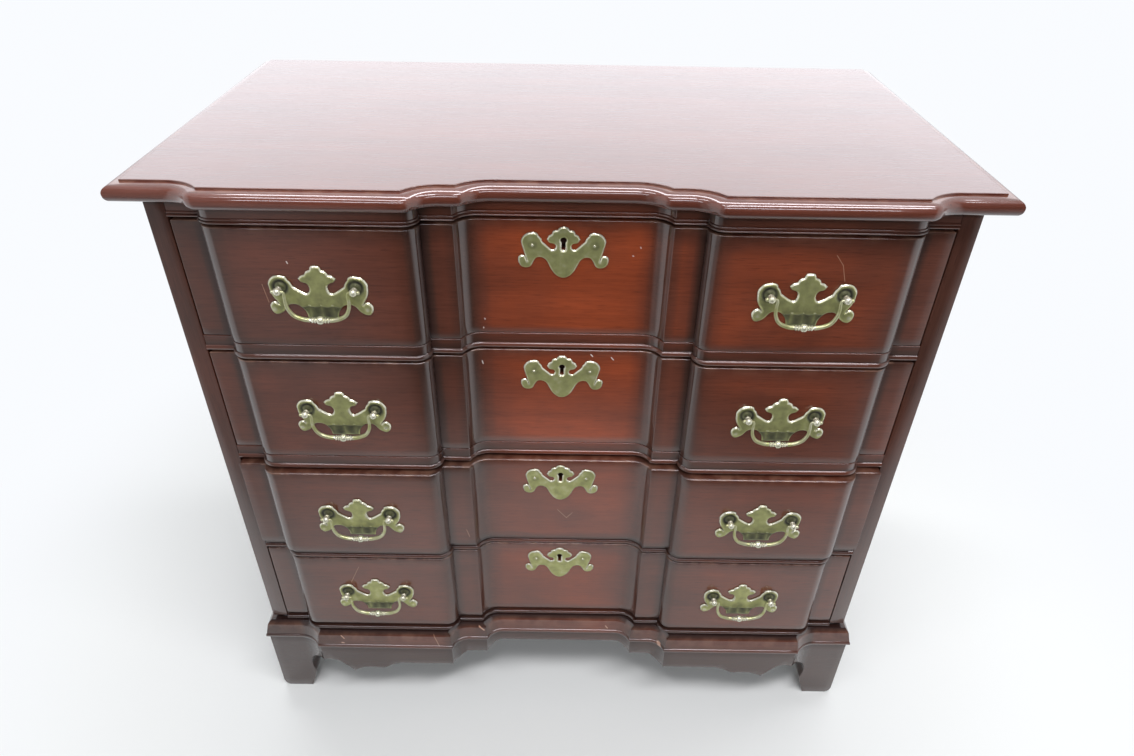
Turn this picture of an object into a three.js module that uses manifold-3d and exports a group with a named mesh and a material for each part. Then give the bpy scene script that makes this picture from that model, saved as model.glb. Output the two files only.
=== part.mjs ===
// Block front chest of drawers: four long drawers with blocked fronts between beaded rails, a moulded top,
// a moulded base on bracket feet, and brass pulls with hanging bails.
// Millimetres. X runs from left to right, Y from front to back, Z up. While it is being built, X is 0 on the
// centre line, Y is 0 on the front of the stiles and Z is 0 on the floor.
import * as THREE from "three";
import { mergeVertices } from "three/addons/utils/BufferGeometryUtils.js";
import Module from "manifold-3d";

const wasm = await Module();
wasm.setup();

// Case
const CASE_WIDTH = 863.6;
const CASE_DEPTH = 462;
const CHEST_HEIGHT = 851.6;
const TOP_THICKNESS = 19.4;
const TOP_OVERHANG = 24.6; // at the front and at both sides
const TOP_BACK_OVERHANG = 8.2;
const PANEL_THICKNESS = 19;
const BACK_THICKNESS = 6;
const STILE_WIDTH = 21.2;
const STILE_DEPTH = 40;
const FIT_GAP = 0.3; // between pieces that are glued, screwed or laid on each other

// Blocked outline of the drawers and rails, as distances from the centre line
const BLOCK_STEP = 17.5; // a block stands this far in front of the flats
const RECESS_STEP = 15.5; // the middle lies this far behind the flats
const BLOCK_OUTER = 358.8; // outer end of a block's flat face
const BLOCK_INNER = 167; // its inner end
const RECESS_CORNER = 115.5; // sharp corner where the middle is cut back
const RECESS_FACE = 92; // half the width of the middle's flat face

// Blocked outline of the top and the base, whose hollows leave the flats and end in a corner on the block
const MOULD_REACH = 10.8; // this outline lies this far outside the stiles
const MOULD_BLOCK_OUTER = 360;
const MOULD_BLOCK_INNER = 160.5;
const MOULD_RECESS_CORNER = 109;
const TOP_HOLLOW = 37; // width of each hollow of the top
const BASE_OUTER_HOLLOW = 33; // the same of the base, beside the feet
const BASE_INNER_HOLLOW = 24;
const TOP_CORNER_RADIUS = 2; // the corners of the blocks, which are sharp on the base

// Levels of the front
const FRIEZE_HEIGHT = 24.2; // from the lower edge of the frieze to the underside of the top
const RAIL_HEIGHT = 19.5;
const RAIL_DEPTH = 70; // to the back of the rail, from the front of the stiles
const DUST_BOARD_THICKNESS = 12;
const CASE_BOTTOM = 156.8; // underside of the bottom board
const BOTTOM_BOARD_THICKNESS = 12;
const PLINTH_HEIGHT = 5.9; // the recessed lower part of the bottom board, under the sides and stiles
const PLINTH_RECESS = 5;

// Beads of the rails
const BEAD_HEIGHT = 5.4;
const BEAD_REACH = 1.7;
const RAIL_FACE_RECESS = 0.5;
const SMALL_BEAD_HEIGHT = 3.2;
const BOTTOM_RAIL_RECESS = 4;

// Base
const MOULDING_HEIGHT = 30.4;
const MOULDING_REACH = 13.5; // outermost point of its lower bead, from the stiles
const MOULDING_FACE_REACH = 12; // foot of its sloping face
const MOULDING_ARRIS_REACH = 8.4; // head of its sloping face
const MOULDING_ARRIS_DROP = 6; // from the moulding's top
const MOULDING_TOP_REACH = 3.6;
const MOULDING_BEAD_HEIGHT = 7.6;
const MOULDING_QUIRK = 1.2; // depth of the notch above and below the bead
const FOOT_REACH = 9.8;
const BASE_THICKNESS = 24; // from the front of the stiles to the back of the moulding and apron
const SIDE_BASE_THICKNESS = 10; // the same from the outside of the case

// Elevation of the bracket feet and aprons
const BRACKET_LENGTH = 200; // from the outer corner of a foot to the apron's straight edge
const APRON_HEIGHT = 86.5; // lower edge under the blocks and along the sides
const APRON_FLAT_HEIGHT = 95.5; // lower edge under the inner flats
const APRON_MIDDLE_HEIGHT = 104.5; // lower edge under the middle
const APRON_BLOCK_END = 154;
const APRON_FLAT_START = 141;
const APRON_FLAT_END = 111;
const APRON_MIDDLE_END = 94;

// Drawers
const DRAWER_SIDE_GAP = 1.2;
const DRAWER_TOP_GAP = 3.4;
const DRAWER_BOTTOM_GAP = 0.8;
const DRAWER_RUN_GAP = 0.3; // under the drawer's sides
const DRAWER_EDGE_ROUND = 2;
const FRONT_BACK = 34; // back of the drawer front, from the front of the stiles
const DRAWER_LENGTH = 434; // to the back of the drawer, from the front of the stiles
const DRAWER_SIDE_THICKNESS = 12;
const DRAWER_SIDE_DROP = 21.5; // top of a drawer's sides, below the top of its front
const DRAWER_BACK_THICKNESS = 12;
const DRAWER_BOTTOM_THICKNESS = 6;
const DRAWER_BOTTOM_RISE = 10; // underside of the bottom, above the lower edge of the sides
const GROOVE_DEPTH = 5;
const TAIL_COUNT = 4;
const TAIL_LENGTH = 13; // how far the dovetails of a side reach into the front
const TAIL_FLARE = 2.4; // a tail widens by this on each edge towards its end
const TAIL_GAP = 0.3;
const THIRD_DRAWER_OPEN = 9; // the third drawer stands this far open

// Brass pulls and escutcheons
const PULL_WIDTH = 116;
const PULL_OFFSET = 261.4; // from the centre line
const PULL_RISE = 4.3; // its pivots above the middle of the drawer front
const PLATE_THICKNESS = 2;
const POST_RADIUS = 3.2;
const ROSETTE_RADIUS = 6.4;
const ROSETTE_THICKNESS = 1.6;
const KNUCKLE_RADIUS = 4.4;
const PIVOT_REACH = 13.5; // from the face of the block
const PIN_RADIUS = 1.7;
const PIN_CLEARANCE = 0.35;
const PIN_END = 47.4; // from the middle of the pull
const PIN_END_RADIUS = 2.3;
const BAIL_HALF_WIDTH = 33.6;
const BAIL_DROP = 34.4;
const BAIL_END_RADIUS = 1.8;
const BAIL_MIDDLE_RADIUS = 2.7;
const BAIL_BEAD_RADIUS = 4.1;
const BAIL_BEAD_PITCH = 3.1;
const ESCUTCHEON_WIDTH = 99;
const ESCUTCHEON_TOP_DROP = 29; // its pins below the top of the drawer front
const ESCUTCHEON_THICKNESS = 1.8;
const KEYHOLE_RADIUS = 3.1;
const KEYHOLE_SLOT = 3.4;
const KEYHOLE_LENGTH = 13;
const KEYHOLE_RISE = 5.6; // middle of the keyhole's round part above the pins

const CURVE_STEPS = 4;
const DRAWERS = 4;
const CASE_HALF = CASE_WIDTH / 2;
const OPENING_HALF = CASE_HALF - STILE_WIDTH;
const TOP_UNDERSIDE = CHEST_HEIGHT - TOP_THICKNESS;
const FRIEZE_BOTTOM = TOP_UNDERSIDE - FRIEZE_HEIGHT;
const CASE_FLOOR = CASE_BOTTOM + BOTTOM_BOARD_THICKNESS; // top of the bottom board
const DRAWER_PITCH = (FRIEZE_BOTTOM - CASE_FLOOR + RAIL_HEIGHT) / DRAWERS;
const OPENING_HEIGHT = DRAWER_PITCH - RAIL_HEIGHT;
const PLINTH_TOP = CASE_BOTTOM + PLINTH_HEIGHT;
const MOULDING_TOP = CASE_BOTTOM - FIT_GAP;
const MOULDING_BOTTOM = MOULDING_TOP - MOULDING_HEIGHT;
const APRON_TOP = MOULDING_BOTTOM - FIT_GAP;

// Finishes
const MAHOGANY = { color: 0x54211a, roughness: 0.32, metalness: 0 };
const TOP_MAHOGANY = { color: 0x5b271d, roughness: 0.25, metalness: 0 };
const INSIDE_WOOD = { color: 0x9c7a54, roughness: 0.7, metalness: 0 };
const AGED_BRASS = { color: 0x8b7c4a, roughness: 0.35, metalness: 0.9 };

const chest = new THREE.Group();

function addPiece(parent, name, geometry, finish) {
  const mesh = new THREE.Mesh(geometry, new THREE.MeshStandardMaterial(finish));
  mesh.name = name;
  parent.add(mesh);
  return mesh;
}

function addGroup(parent, x, y, z) {
  const group = new THREE.Group();
  group.position.set(x, y, z);
  parent.add(group);
  return group;
}

// Solids that are joined or cut
function solidOf(geometry) {
  const bare = new THREE.BufferGeometry().setAttribute("position", geometry.getAttribute("position").clone());
  if (geometry.index) bare.setIndex(geometry.index.clone());
  const merged = mergeVertices(bare);
  const shape = { numProp: 3, vertProperties: merged.attributes.position.array };
  return new wasm.Manifold(new wasm.Mesh({ ...shape, triVerts: new Uint32Array(merged.index.array) }));
}

function geometryOf(solid) {
  const mesh = solid.getMesh();
  return new THREE.BufferGeometry()
    .setAttribute("position", new THREE.BufferAttribute(new Float32Array(mesh.vertProperties), 3))
    .setIndex(new THREE.BufferAttribute(new Uint32Array(mesh.triVerts), 1));
}

// A board between two opposite corners
function board([x0, y0, z0], [x1, y1, z1]) {
  const box = new THREE.BoxGeometry(x1 - x0, y1 - y0, z1 - z0);
  return box.translate((x0 + x1) / 2, (y0 + y1) / 2, (z0 + z1) / 2);
}

// Points of a curve that leaves a face at "tangent", running along X there, and ends in the corner
function hollow(tangent, corner) {
  const dx = corner.x - tangent.x;
  const dy = corner.y - tangent.y;
  const radius = (dx * dx + dy * dy) / (2 * dy);
  const turn = Math.atan2(dx / radius, 1 - dy / radius);
  return Array.from({ length: CURVE_STEPS + 1 }, (_, i) => {
    const angle = (turn * i) / CURVE_STEPS;
    return new THREE.Vector2(
      tangent.x + radius * Math.sin(angle),
      tangent.y + radius * (1 - Math.cos(angle)),
    );
  });
}

// The corner between two points, rounded with the given radius
function roundedCorner(before, corner, after, radius) {
  const into = corner.clone().sub(before).normalize();
  const out = after.clone().sub(corner).normalize();
  const reach = radius * Math.tan(Math.acos(Math.min(1, into.dot(out))) / 2);
  const start = corner.clone().addScaledVector(into, -reach);
  const end = corner.clone().addScaledVector(out, reach);
  return new THREE.QuadraticBezierCurve(start, corner, end).getPoints(2);
}

// Both halves of an outline, from left to right, out of its right half
function bothHalves(half) {
  const left = half.map((p) => new THREE.Vector2(-p.x, p.y)).reverse();
  return [...left, ...half];
}

// Front outline of the drawers and rails: round-ended blocks that meet the flats in a sharp corner
function frontOutline(halfWidth) {
  const at = (x, y) => new THREE.Vector2(x, y);
  const innerFoot = at(BLOCK_INNER - BLOCK_STEP, 0);
  const outerFoot = at(BLOCK_OUTER + BLOCK_STEP, 0);
  return bothHalves([
    ...hollow(at(RECESS_FACE, RECESS_STEP), at(RECESS_CORNER, 0)),
    ...hollow(at(BLOCK_INNER, -BLOCK_STEP), innerFoot).reverse(),
    ...hollow(at(BLOCK_OUTER, -BLOCK_STEP), outerFoot),
    at(halfWidth, 0),
  ]);
}

// Outline of the top and the base at MOULD_REACH: front and both sides, from the back left corner round
function mouldOutline(back, innerHollow, outerHollow, cornerRadius) {
  const at = (x, y) => new THREE.Vector2(x, y - MOULD_REACH);
  const recess = hollow(at(MOULD_RECESS_CORNER - innerHollow, RECESS_STEP), at(MOULD_RECESS_CORNER, 0));
  const inner = hollow(at(MOULD_BLOCK_INNER - innerHollow, 0), at(MOULD_BLOCK_INNER, -BLOCK_STEP));
  const outer = hollow(at(MOULD_BLOCK_OUTER + outerHollow, 0), at(MOULD_BLOCK_OUTER, -BLOCK_STEP)).reverse();
  const corner = (...place) => (cornerRadius ? roundedCorner(...place, cornerRadius) : [place[1]]);
  const half = [
    ...recess.slice(0, -1),
    ...corner(recess.at(-2), recess.at(-1), inner[0]),
    ...inner.slice(0, -1),
    ...corner(inner.at(-2), inner.at(-1), outer[0]),
    ...corner(inner.at(-1), outer[0], outer[1]),
    ...outer.slice(1),
    at(CASE_HALF + MOULD_REACH, 0),
    new THREE.Vector2(CASE_HALF + MOULD_REACH, back),
  ];
  return bothHalves(half);
}

// The steps outwards that keep an outline's corners true, one for each point
function outwardSteps(points) {
  const normal = (a, b) => new THREE.Vector2(b.y - a.y, a.x - b.x).normalize();
  return points.map((p, i) => {
    const before = i ? normal(points[i - 1], p) : normal(p, points[1]);
    const after = i < points.length - 1 ? normal(p, points[i + 1]) : before;
    return before.clone().add(after).divideScalar(1 + before.dot(after));
  });
}

function offsetOutline(points, steps, reach) {
  return points.map((p, i) => p.clone().addScaledVector(steps[i], reach));
}

// A closed solid through level rings of equal length; each ring runs anticlockwise seen from above
function loft(rings, levels) {
  const count = rings[0].length;
  const positions = rings.flatMap((ring, j) => ring.flatMap((p) => [p.x, p.y, levels[j]]));
  const faces = [];
  for (let j = 0; j < rings.length - 1; j += 1) {
    for (let i = 0; i < count; i += 1) {
      const a = j * count + i;
      const b = j * count + ((i + 1) % count);
      faces.push(a, b, b + count, a, b + count, a + count);
    }
  }
  const last = (rings.length - 1) * count;
  for (const [a, b, c] of THREE.ShapeUtils.triangulateShape(rings[0], [])) faces.push(c, b, a);
  for (const [a, b, c] of THREE.ShapeUtils.triangulateShape(rings.at(-1), [])) {
    faces.push(last + a, last + b, last + c);
  }
  return new THREE.BufferGeometry()
    .setAttribute("position", new THREE.Float32BufferAttribute(positions, 3))
    .setIndex(faces);
}

// A piece with the blocked front outline, a flat back and a profile of [reach, level] pairs
function blockedPiece(halfWidth, back, profile) {
  const outline = frontOutline(halfWidth);
  const steps = outwardSteps(outline);
  const behind = [new THREE.Vector2(halfWidth, back), new THREE.Vector2(-halfWidth, back)];
  const rings = profile.map(([reach]) => [...offsetOutline(outline, steps, reach), ...behind]);
  return loft(rings, profile.map(([, level]) => level));
}

// A flat shape drawn in X and Z, from Y = front to Y = back
function elevation(shape, front, back) {
  const solid = new THREE.ExtrudeGeometry(shape, { depth: back - front, bevelEnabled: false });
  return solid.rotateX(Math.PI / 2).translate(0, back, 0);
}

// Top
function topBoard() {
  const outline = mouldOutline(CASE_DEPTH + TOP_BACK_OVERHANG, TOP_HOLLOW, TOP_HOLLOW, TOP_CORNER_RADIUS);
  const steps = outwardSteps(outline);
  const slope = TOP_OVERHANG - MOULD_REACH; // width of the moulded edge
  // How far in from the nose, as a share of the moulded edge, and how high, as a share of the thickness
  const edge_shares = [
    [0.36, 0],
    [0.2, 0.06],
    [0.05, 0.22],
    [0, 0.46],
    [0.05, 0.62],
    [0.2, 0.76],
    [0.5, 0.86],
    [1, 0.9],
    [1, 1],
  ];
  const rings = edge_shares.map(([inset]) => offsetOutline(outline, steps, slope * (1 - inset)));
  return loft(rings, edge_shares.map(([, rise]) => TOP_UNDERSIDE + TOP_THICKNESS * rise));
}
addPiece(chest, "top", topBoard(), TOP_MAHOGANY);

// Case sides, stiles and back
const caseTop = TOP_UNDERSIDE - FIT_GAP;
const caseFoot = PLINTH_TOP + FIT_GAP;
const innerHalf = CASE_HALF - PANEL_THICKNESS;
for (const [side, sign] of [["left", -1], ["right", 1]]) {
  const across = (inner, outer) => (sign > 0 ? [inner, outer] : [-outer, -inner]);
  const [panelLow, panelHigh] = across(innerHalf, CASE_HALF);
  const panelFront = STILE_DEPTH + FIT_GAP;
  const panel = board([panelLow, panelFront, caseFoot], [panelHigh, CASE_DEPTH, caseTop]);
  addPiece(chest, `side_panel_${side}`, panel, MAHOGANY);
  const [stileLow, stileHigh] = across(OPENING_HALF, CASE_HALF);
  const stile = board([stileLow, 0, caseFoot], [stileHigh, STILE_DEPTH, caseTop]);
  addPiece(chest, `stile_${side}`, stile, MAHOGANY);
}
const backHalf = innerHalf - FIT_GAP;
const backFront = CASE_DEPTH - BACK_THICKNESS;
const backFoot = CASE_FLOOR + FIT_GAP;
const backPanel = board([-backHalf, backFront, backFoot], [backHalf, CASE_DEPTH, caseTop]);
addPiece(chest, "back_panel", backPanel, INSIDE_WOOD);

// Profile of a round bead that starts at a level, on a face that lies a little behind the stiles
function bead(level, height, reach) {
  const rise_shares = [0, 0.22, 0.5, 0.78, 1];
  return rise_shares.map((share) => [
    -RAIL_FACE_RECESS + (reach + RAIL_FACE_RECESS) * Math.sin(Math.PI * share),
    level + height * share,
  ]);
}

// Frieze rail with two beads at its lower edge
const railHalf = OPENING_HALF - FIT_GAP;
const friezeProfile = [
  ...bead(FRIEZE_BOTTOM, SMALL_BEAD_HEIGHT, BEAD_REACH),
  ...bead(FRIEZE_BOTTOM + SMALL_BEAD_HEIGHT, SMALL_BEAD_HEIGHT, BEAD_REACH / 2).slice(1),
  [-RAIL_FACE_RECESS, caseTop],
];
addPiece(chest, "frieze_rail", blockedPiece(railHalf, RAIL_DEPTH, friezeProfile), MAHOGANY);

// Divider rails with a large bead below and a small one above, and the dust boards behind them
const dustHalf = innerHalf - FIT_GAP;
for (let n = 1; n < DRAWERS; n += 1) {
  const railBottom = FRIEZE_BOTTOM - n * DRAWER_PITCH;
  const railTop = railBottom + RAIL_HEIGHT;
  const smallBead = railTop - SMALL_BEAD_HEIGHT / 2;
  const profile = [
    ...bead(railBottom, BEAD_HEIGHT, BEAD_REACH),
    [-RAIL_FACE_RECESS, smallBead],
    [0, smallBead + SMALL_BEAD_HEIGHT / 4],
    [-RAIL_FACE_RECESS, railTop],
  ];
  addPiece(chest, `divider_rail_${n}`, blockedPiece(railHalf, RAIL_DEPTH, profile), MAHOGANY);
  const dustFront = RAIL_DEPTH + FIT_GAP;
  const dustBack = backFront - FIT_GAP;
  const dust = board([-dustHalf, dustFront, railTop - DUST_BOARD_THICKNESS], [dustHalf, dustBack, railTop]);
  addPiece(chest, `dust_board_${n}`, dust, INSIDE_WOOD);
}

// Bottom board: its front edge is the lowest rail, and a recessed plinth under it carries the sides
function bottomBoard() {
  const beadProfile = [
    ...bead(CASE_BOTTOM, PLINTH_HEIGHT, BEAD_REACH).slice(0, -1),
    [-BOTTOM_RAIL_RECESS, PLINTH_TOP],
    [-BOTTOM_RAIL_RECESS, CASE_FLOOR],
  ];
  const rail = solidOf(blockedPiece(railHalf, RAIL_DEPTH, beadProfile));
  const plinthHalf = CASE_HALF - PLINTH_RECESS;
  const plinth = board([-plinthHalf, PLINTH_RECESS, CASE_BOTTOM], [plinthHalf, CASE_DEPTH, PLINTH_TOP]);
  const floorFront = STILE_DEPTH + FIT_GAP;
  const floor = board([-dustHalf, floorFront, CASE_BOTTOM], [dustHalf, CASE_DEPTH, CASE_FLOOR]);
  // The middle of the rail is cut back behind the plinth's front edge
  const front = RECESS_STEP + BOTTOM_RAIL_RECESS;
  const notch = board([-RECESS_CORNER, -BLOCK_STEP, 0], [RECESS_CORNER, front, CHEST_HEIGHT]);
  return geometryOf(rail.add(solidOf(plinth).subtract(solidOf(notch))).add(solidOf(floor)));
}
addPiece(chest, "bottom_board", bottomBoard(), MAHOGANY);

// Base moulding: a front piece that follows the blocks, mitred to two side pieces
const baseOutline = mouldOutline(CASE_DEPTH, BASE_INNER_HOLLOW, BASE_OUTER_HOLLOW, 0);
const baseSteps = outwardSteps(baseOutline);
const frontRun = [1, baseOutline.length - 1]; // the points from one front corner to the other

function mitredFront(profile) {
  const inner = CASE_HALF - BASE_THICKNESS;
  const behind = [new THREE.Vector2(inner, BASE_THICKNESS), new THREE.Vector2(-inner, BASE_THICKNESS)];
  const rings = profile.map(([reach]) => {
    const outline = offsetOutline(baseOutline, baseSteps, reach - MOULD_REACH);
    return [...outline.slice(...frontRun), ...behind];
  });
  return loft(rings, profile.map(([, level]) => level));
}

function mitredSide(profile, sign) {
  const inner = CASE_HALF - SIDE_BASE_THICKNESS;
  const rings = profile.map(([reach]) => {
    const outer = CASE_HALF + reach;
    const ring = [
      new THREE.Vector2(outer, FIT_GAP - reach),
      new THREE.Vector2(outer, CASE_DEPTH),
      new THREE.Vector2(inner, CASE_DEPTH),
      new THREE.Vector2(inner, SIDE_BASE_THICKNESS + FIT_GAP),
    ];
    return sign > 0 ? ring : ring.map((p) => new THREE.Vector2(-p.x, p.y)).reverse();
  });
  return loft(rings, profile.map(([, level]) => level));
}

const beadTop = MOULDING_BOTTOM + MOULDING_BEAD_HEIGHT;
const quirk = MOULDING_QUIRK;
const mouldingProfile = [
  [MOULDING_REACH - 2 * quirk, MOULDING_BOTTOM],
  [MOULDING_REACH - quirk / 2, MOULDING_BOTTOM + quirk],
  [MOULDING_REACH, MOULDING_BOTTOM + MOULDING_BEAD_HEIGHT / 2],
  [MOULDING_REACH - quirk / 2, beadTop - quirk],
  [MOULDING_FACE_REACH - quirk, beadTop],
  [MOULDING_FACE_REACH, beadTop + quirk / 2],
  [MOULDING_ARRIS_REACH, MOULDING_TOP - MOULDING_ARRIS_DROP],
  [MOULDING_TOP_REACH, MOULDING_TOP],
];
addPiece(chest, "base_moulding_front", mitredFront(mouldingProfile), MAHOGANY);
addPiece(chest, "base_moulding_left", mitredSide(mouldingProfile, -1), MAHOGANY);
addPiece(chest, "base_moulding_right", mitredSide(mouldingProfile, 1), MAHOGANY);

// Lower edge of a bracket foot and the apron beside it, from the outer corner of the foot inwards: how far
// along, as a share of the bracket's length, and how high, as a share of the apron's height
const foot_corner_shares = [[0, 0.14], [0.012, 0.05], [0.04, 0]];
const foot_inner_shares = [
  [0.223, 0],
  [0.255, 0.22],
  [0.281, 0.43],
  [0.268, 0.62],
  [0.274, 0.78],
  [0.304, 0.92],
  [0.37, 1.01],
  [0.43, 1.085],
  [0.485, 1.085],
  [0.53, 1.03],
  [0.58, 0.91],
  [0.631, 0.765],
];
const lobe_edge_shares = [
  [0.631, 0.765],
  [0.67, 0.82],
  [0.73, 0.862],
  [0.8, 0.862],
  [0.86, 0.85],
  [0.93, 0.95],
  [1, 1],
];

function bracketEdge(place) {
  const curve = (shares) => new THREE.SplineCurve(
    shares.map(([along, height]) => place(along * BRACKET_LENGTH, height * APRON_HEIGHT)),
  );
  return pointsOfCurves([
    [curve(foot_corner_shares), 3],
    [new THREE.LineCurve(
      place(foot_corner_shares.at(-1)[0] * BRACKET_LENGTH, 0),
      place(foot_inner_shares[0][0] * BRACKET_LENGTH, 0),
    ), 1],
    [curve(foot_inner_shares), 16],
    [curve(lobe_edge_shares), 9],
  ]);
}

// Points of curves that follow each other, each with its number of steps
function pointsOfCurves(runs) {
  return runs.flatMap(([curve, steps], i) => {
    const points = curve.getPoints(steps);
    return i < runs.length - 1 ? points.slice(0, -1) : points;
  });
}

// Front apron: the blocked outline of the base, cut to the elevation of the feet and the apron
const footOuter = CASE_HALF + FOOT_REACH;
function frontApron() {
  const at = (x, z) => new THREE.Vector2(x, z);
  const bracket = bracketEdge((along, height) => at(footOuter - along, height));
  const middle = [
    at(APRON_BLOCK_END, APRON_HEIGHT),
    at((APRON_BLOCK_END + APRON_FLAT_START) / 2, (APRON_HEIGHT + APRON_FLAT_HEIGHT) / 2),
    at(APRON_FLAT_START, APRON_FLAT_HEIGHT),
    at(APRON_FLAT_END, APRON_FLAT_HEIGHT),
    at((APRON_FLAT_END + APRON_MIDDLE_END) / 2, (APRON_FLAT_HEIGHT + APRON_MIDDLE_HEIGHT) / 2),
    at(APRON_MIDDLE_END, APRON_MIDDLE_HEIGHT),
  ];
  const edge = bothHalves([...bracket, ...middle].reverse());
  const margin = BASE_THICKNESS; // the elevation reaches this far past the piece, up and to the sides
  const high = APRON_TOP + margin;
  const shape = new THREE.Shape([
    at(-footOuter, high),
    ...edge,
    at(footOuter, high),
  ]);
  const plan = mitredFront([[FOOT_REACH, 0], [FOOT_REACH, APRON_TOP]]);
  const cut = elevation(shape, -BLOCK_STEP - FOOT_REACH - margin, BASE_THICKNESS + margin);
  return geometryOf(solidOf(plan).intersect(solidOf(cut)));
}
addPiece(chest, "apron_front", frontApron(), MAHOGANY);

// Side aprons, each with the side faces of a front and a rear bracket foot
function sideApron(sign) {
  const at = (y, z) => new THREE.Vector2(y, z);
  const front = bracketEdge((along, height) => at(along - FOOT_REACH, height));
  const rear = bracketEdge((along, height) => at(CASE_DEPTH - along, height));
  const shape = new THREE.Shape([
    at(CASE_DEPTH, APRON_TOP),
    at(-FOOT_REACH, APRON_TOP),
    ...front,
    ...rear.reverse(),
  ]);
  const margin = BASE_THICKNESS;
  const width = 2 * (footOuter + margin);
  const cut = new THREE.ExtrudeGeometry(shape, { depth: width, bevelEnabled: false });
  cut.rotateX(Math.PI / 2).rotateZ(Math.PI / 2).translate(-width / 2, 0, 0);
  const plan = mitredSide([[FOOT_REACH, 0], [FOOT_REACH, APRON_TOP]], sign);
  return geometryOf(solidOf(plan).intersect(solidOf(cut)));
}
addPiece(chest, "apron_left", sideApron(-1), MAHOGANY);
addPiece(chest, "apron_right", sideApron(1), MAHOGANY);

// Drawers, each built from the lower edge of its front, with Y = 0 on the flats of the front
const FRONT_HEIGHT = OPENING_HEIGHT - DRAWER_TOP_GAP - DRAWER_BOTTOM_GAP;
const frontHalf = OPENING_HALF - DRAWER_SIDE_GAP;
const boxHalf = frontHalf; // outside of the drawer's sides
const sideFoot = DRAWER_RUN_GAP - DRAWER_BOTTOM_GAP;
const sideTop = FRONT_HEIGHT - DRAWER_SIDE_DROP;
const bottomLow = sideFoot + DRAWER_BOTTOM_RISE;
const bottomHigh = bottomLow + DRAWER_BOTTOM_THICKNESS;
const boxInnerHalf = boxHalf - DRAWER_SIDE_THICKNESS;

// Outline in Y and Z of a side with its dovetails, which the front's sockets follow with a gap
function dovetails(gap) {
  const pitch = (sideTop - sideFoot) / TAIL_COUNT;
  const tip = FRONT_BACK - TAIL_LENGTH - gap;
  const root = FRONT_BACK + FIT_GAP;
  const tails = [];
  for (let n = 0; n < TAIL_COUNT; n += 1) {
    const low = sideFoot + pitch * n + pitch / 4 - gap;
    const high = sideFoot + pitch * (n + 1) - pitch / 4 + gap;
    const flare = TAIL_FLARE;
    tails.push([[root, low], [tip, low - flare], [tip, high + flare], [root, high]]);
  }
  return tails.map((tail) => tail.map(([y, z]) => new THREE.Vector2(y, z)));
}

// A flat shape drawn in Y and Z, between two places along X
function sideways(shape, low, high) {
  const solid = new THREE.ExtrudeGeometry(shape, { depth: high - low, bevelEnabled: false });
  return solid.rotateX(Math.PI / 2).rotateZ(Math.PI / 2).translate(low, 0, 0);
}

function drawerSide(sign) {
  const root = FRONT_BACK + FIT_GAP;
  const at = (y, z) => new THREE.Vector2(y, z);
  const end = [at(DRAWER_LENGTH, sideTop), at(DRAWER_LENGTH, sideFoot)];
  const body = [at(root, sideFoot), ...dovetails(0).flat(), at(root, sideTop), ...end];
  const [low, high] = sign > 0 ? [boxInnerHalf, boxHalf] : [-boxHalf, -boxInnerHalf];
  const plain = solidOf(sideways(new THREE.Shape(body), low, high));
  const floor = GROOVE_DEPTH + FIT_GAP;
  const [grooveLow, grooveHigh] = sign > 0
    ? [boxInnerHalf - floor, boxInnerHalf + floor]
    : [-boxInnerHalf - floor, -boxInnerHalf + floor];
  const slot = board(
    [grooveLow, FRONT_BACK - floor, bottomLow - FIT_GAP],
    [grooveHigh, DRAWER_LENGTH + floor, bottomHigh + FIT_GAP],
  );
  return geometryOf(plain.subtract(solidOf(slot)));
}

function drawerFront() {
  const round = DRAWER_EDGE_ROUND;
  const profile = [
    [-round / 3, 0],
    [0, round / 3],
    [0, FRONT_HEIGHT - round],
    [-round / 3, FRONT_HEIGHT - round / 3],
    [-round, FRONT_HEIGHT],
  ];
  let front = solidOf(blockedPiece(frontHalf, FRONT_BACK, profile));
  const reach = DRAWER_SIDE_THICKNESS + TAIL_GAP;
  for (const tail of dovetails(TAIL_GAP)) {
    for (const [low, high] of [[boxHalf - reach, boxHalf + reach], [-boxHalf - reach, reach - boxHalf]]) {
      front = front.subtract(solidOf(sideways(new THREE.Shape(tail), low, high)));
    }
  }
  return geometryOf(front);
}

// Outlines of the brass plates: strokes of the right half that meet in corners, from the crest down to the
// tongue, in shares of half the plate's width, measured from the middle between the posts or pins
const pull_plate_shares = [
  [[0, 0.428], [0.06, 0.41], [0.134, 0.331], [0.253, 0.229], [0.345, 0.169]],
  [
    [0.345, 0.169],
    [0.3, 0.098],
    [0.21, 0.064],
    [0.171, -0.001],
    [0.18, -0.091],
    [0.229, -0.141],
    [0.31, -0.111],
    [0.47, 0.002],
  ],
  [[0.47, 0.002], [0.53, 0.109], [0.58, 0.189], [0.67, 0.226]],
  [[0.67, 0.226], [0.79, 0.199], [0.881, 0.114], [0.924, 0.009], [0.88, -0.171], [0.785, -0.366]],
  [
    [0.785, -0.366],
    [0.83, -0.326],
    [0.9, -0.331],
    [0.962, -0.411],
    [0.94, -0.531],
    [0.86, -0.595],
    [0.733, -0.541],
    [0.647, -0.431],
    [0.59, -0.386],
    [0.517, -0.374],
    [0.42, -0.401],
    [0.324, -0.507],
    [0.293, -0.601],
  ],
  [[0.293, -0.601], [0.284, -0.671]],
];
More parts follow.
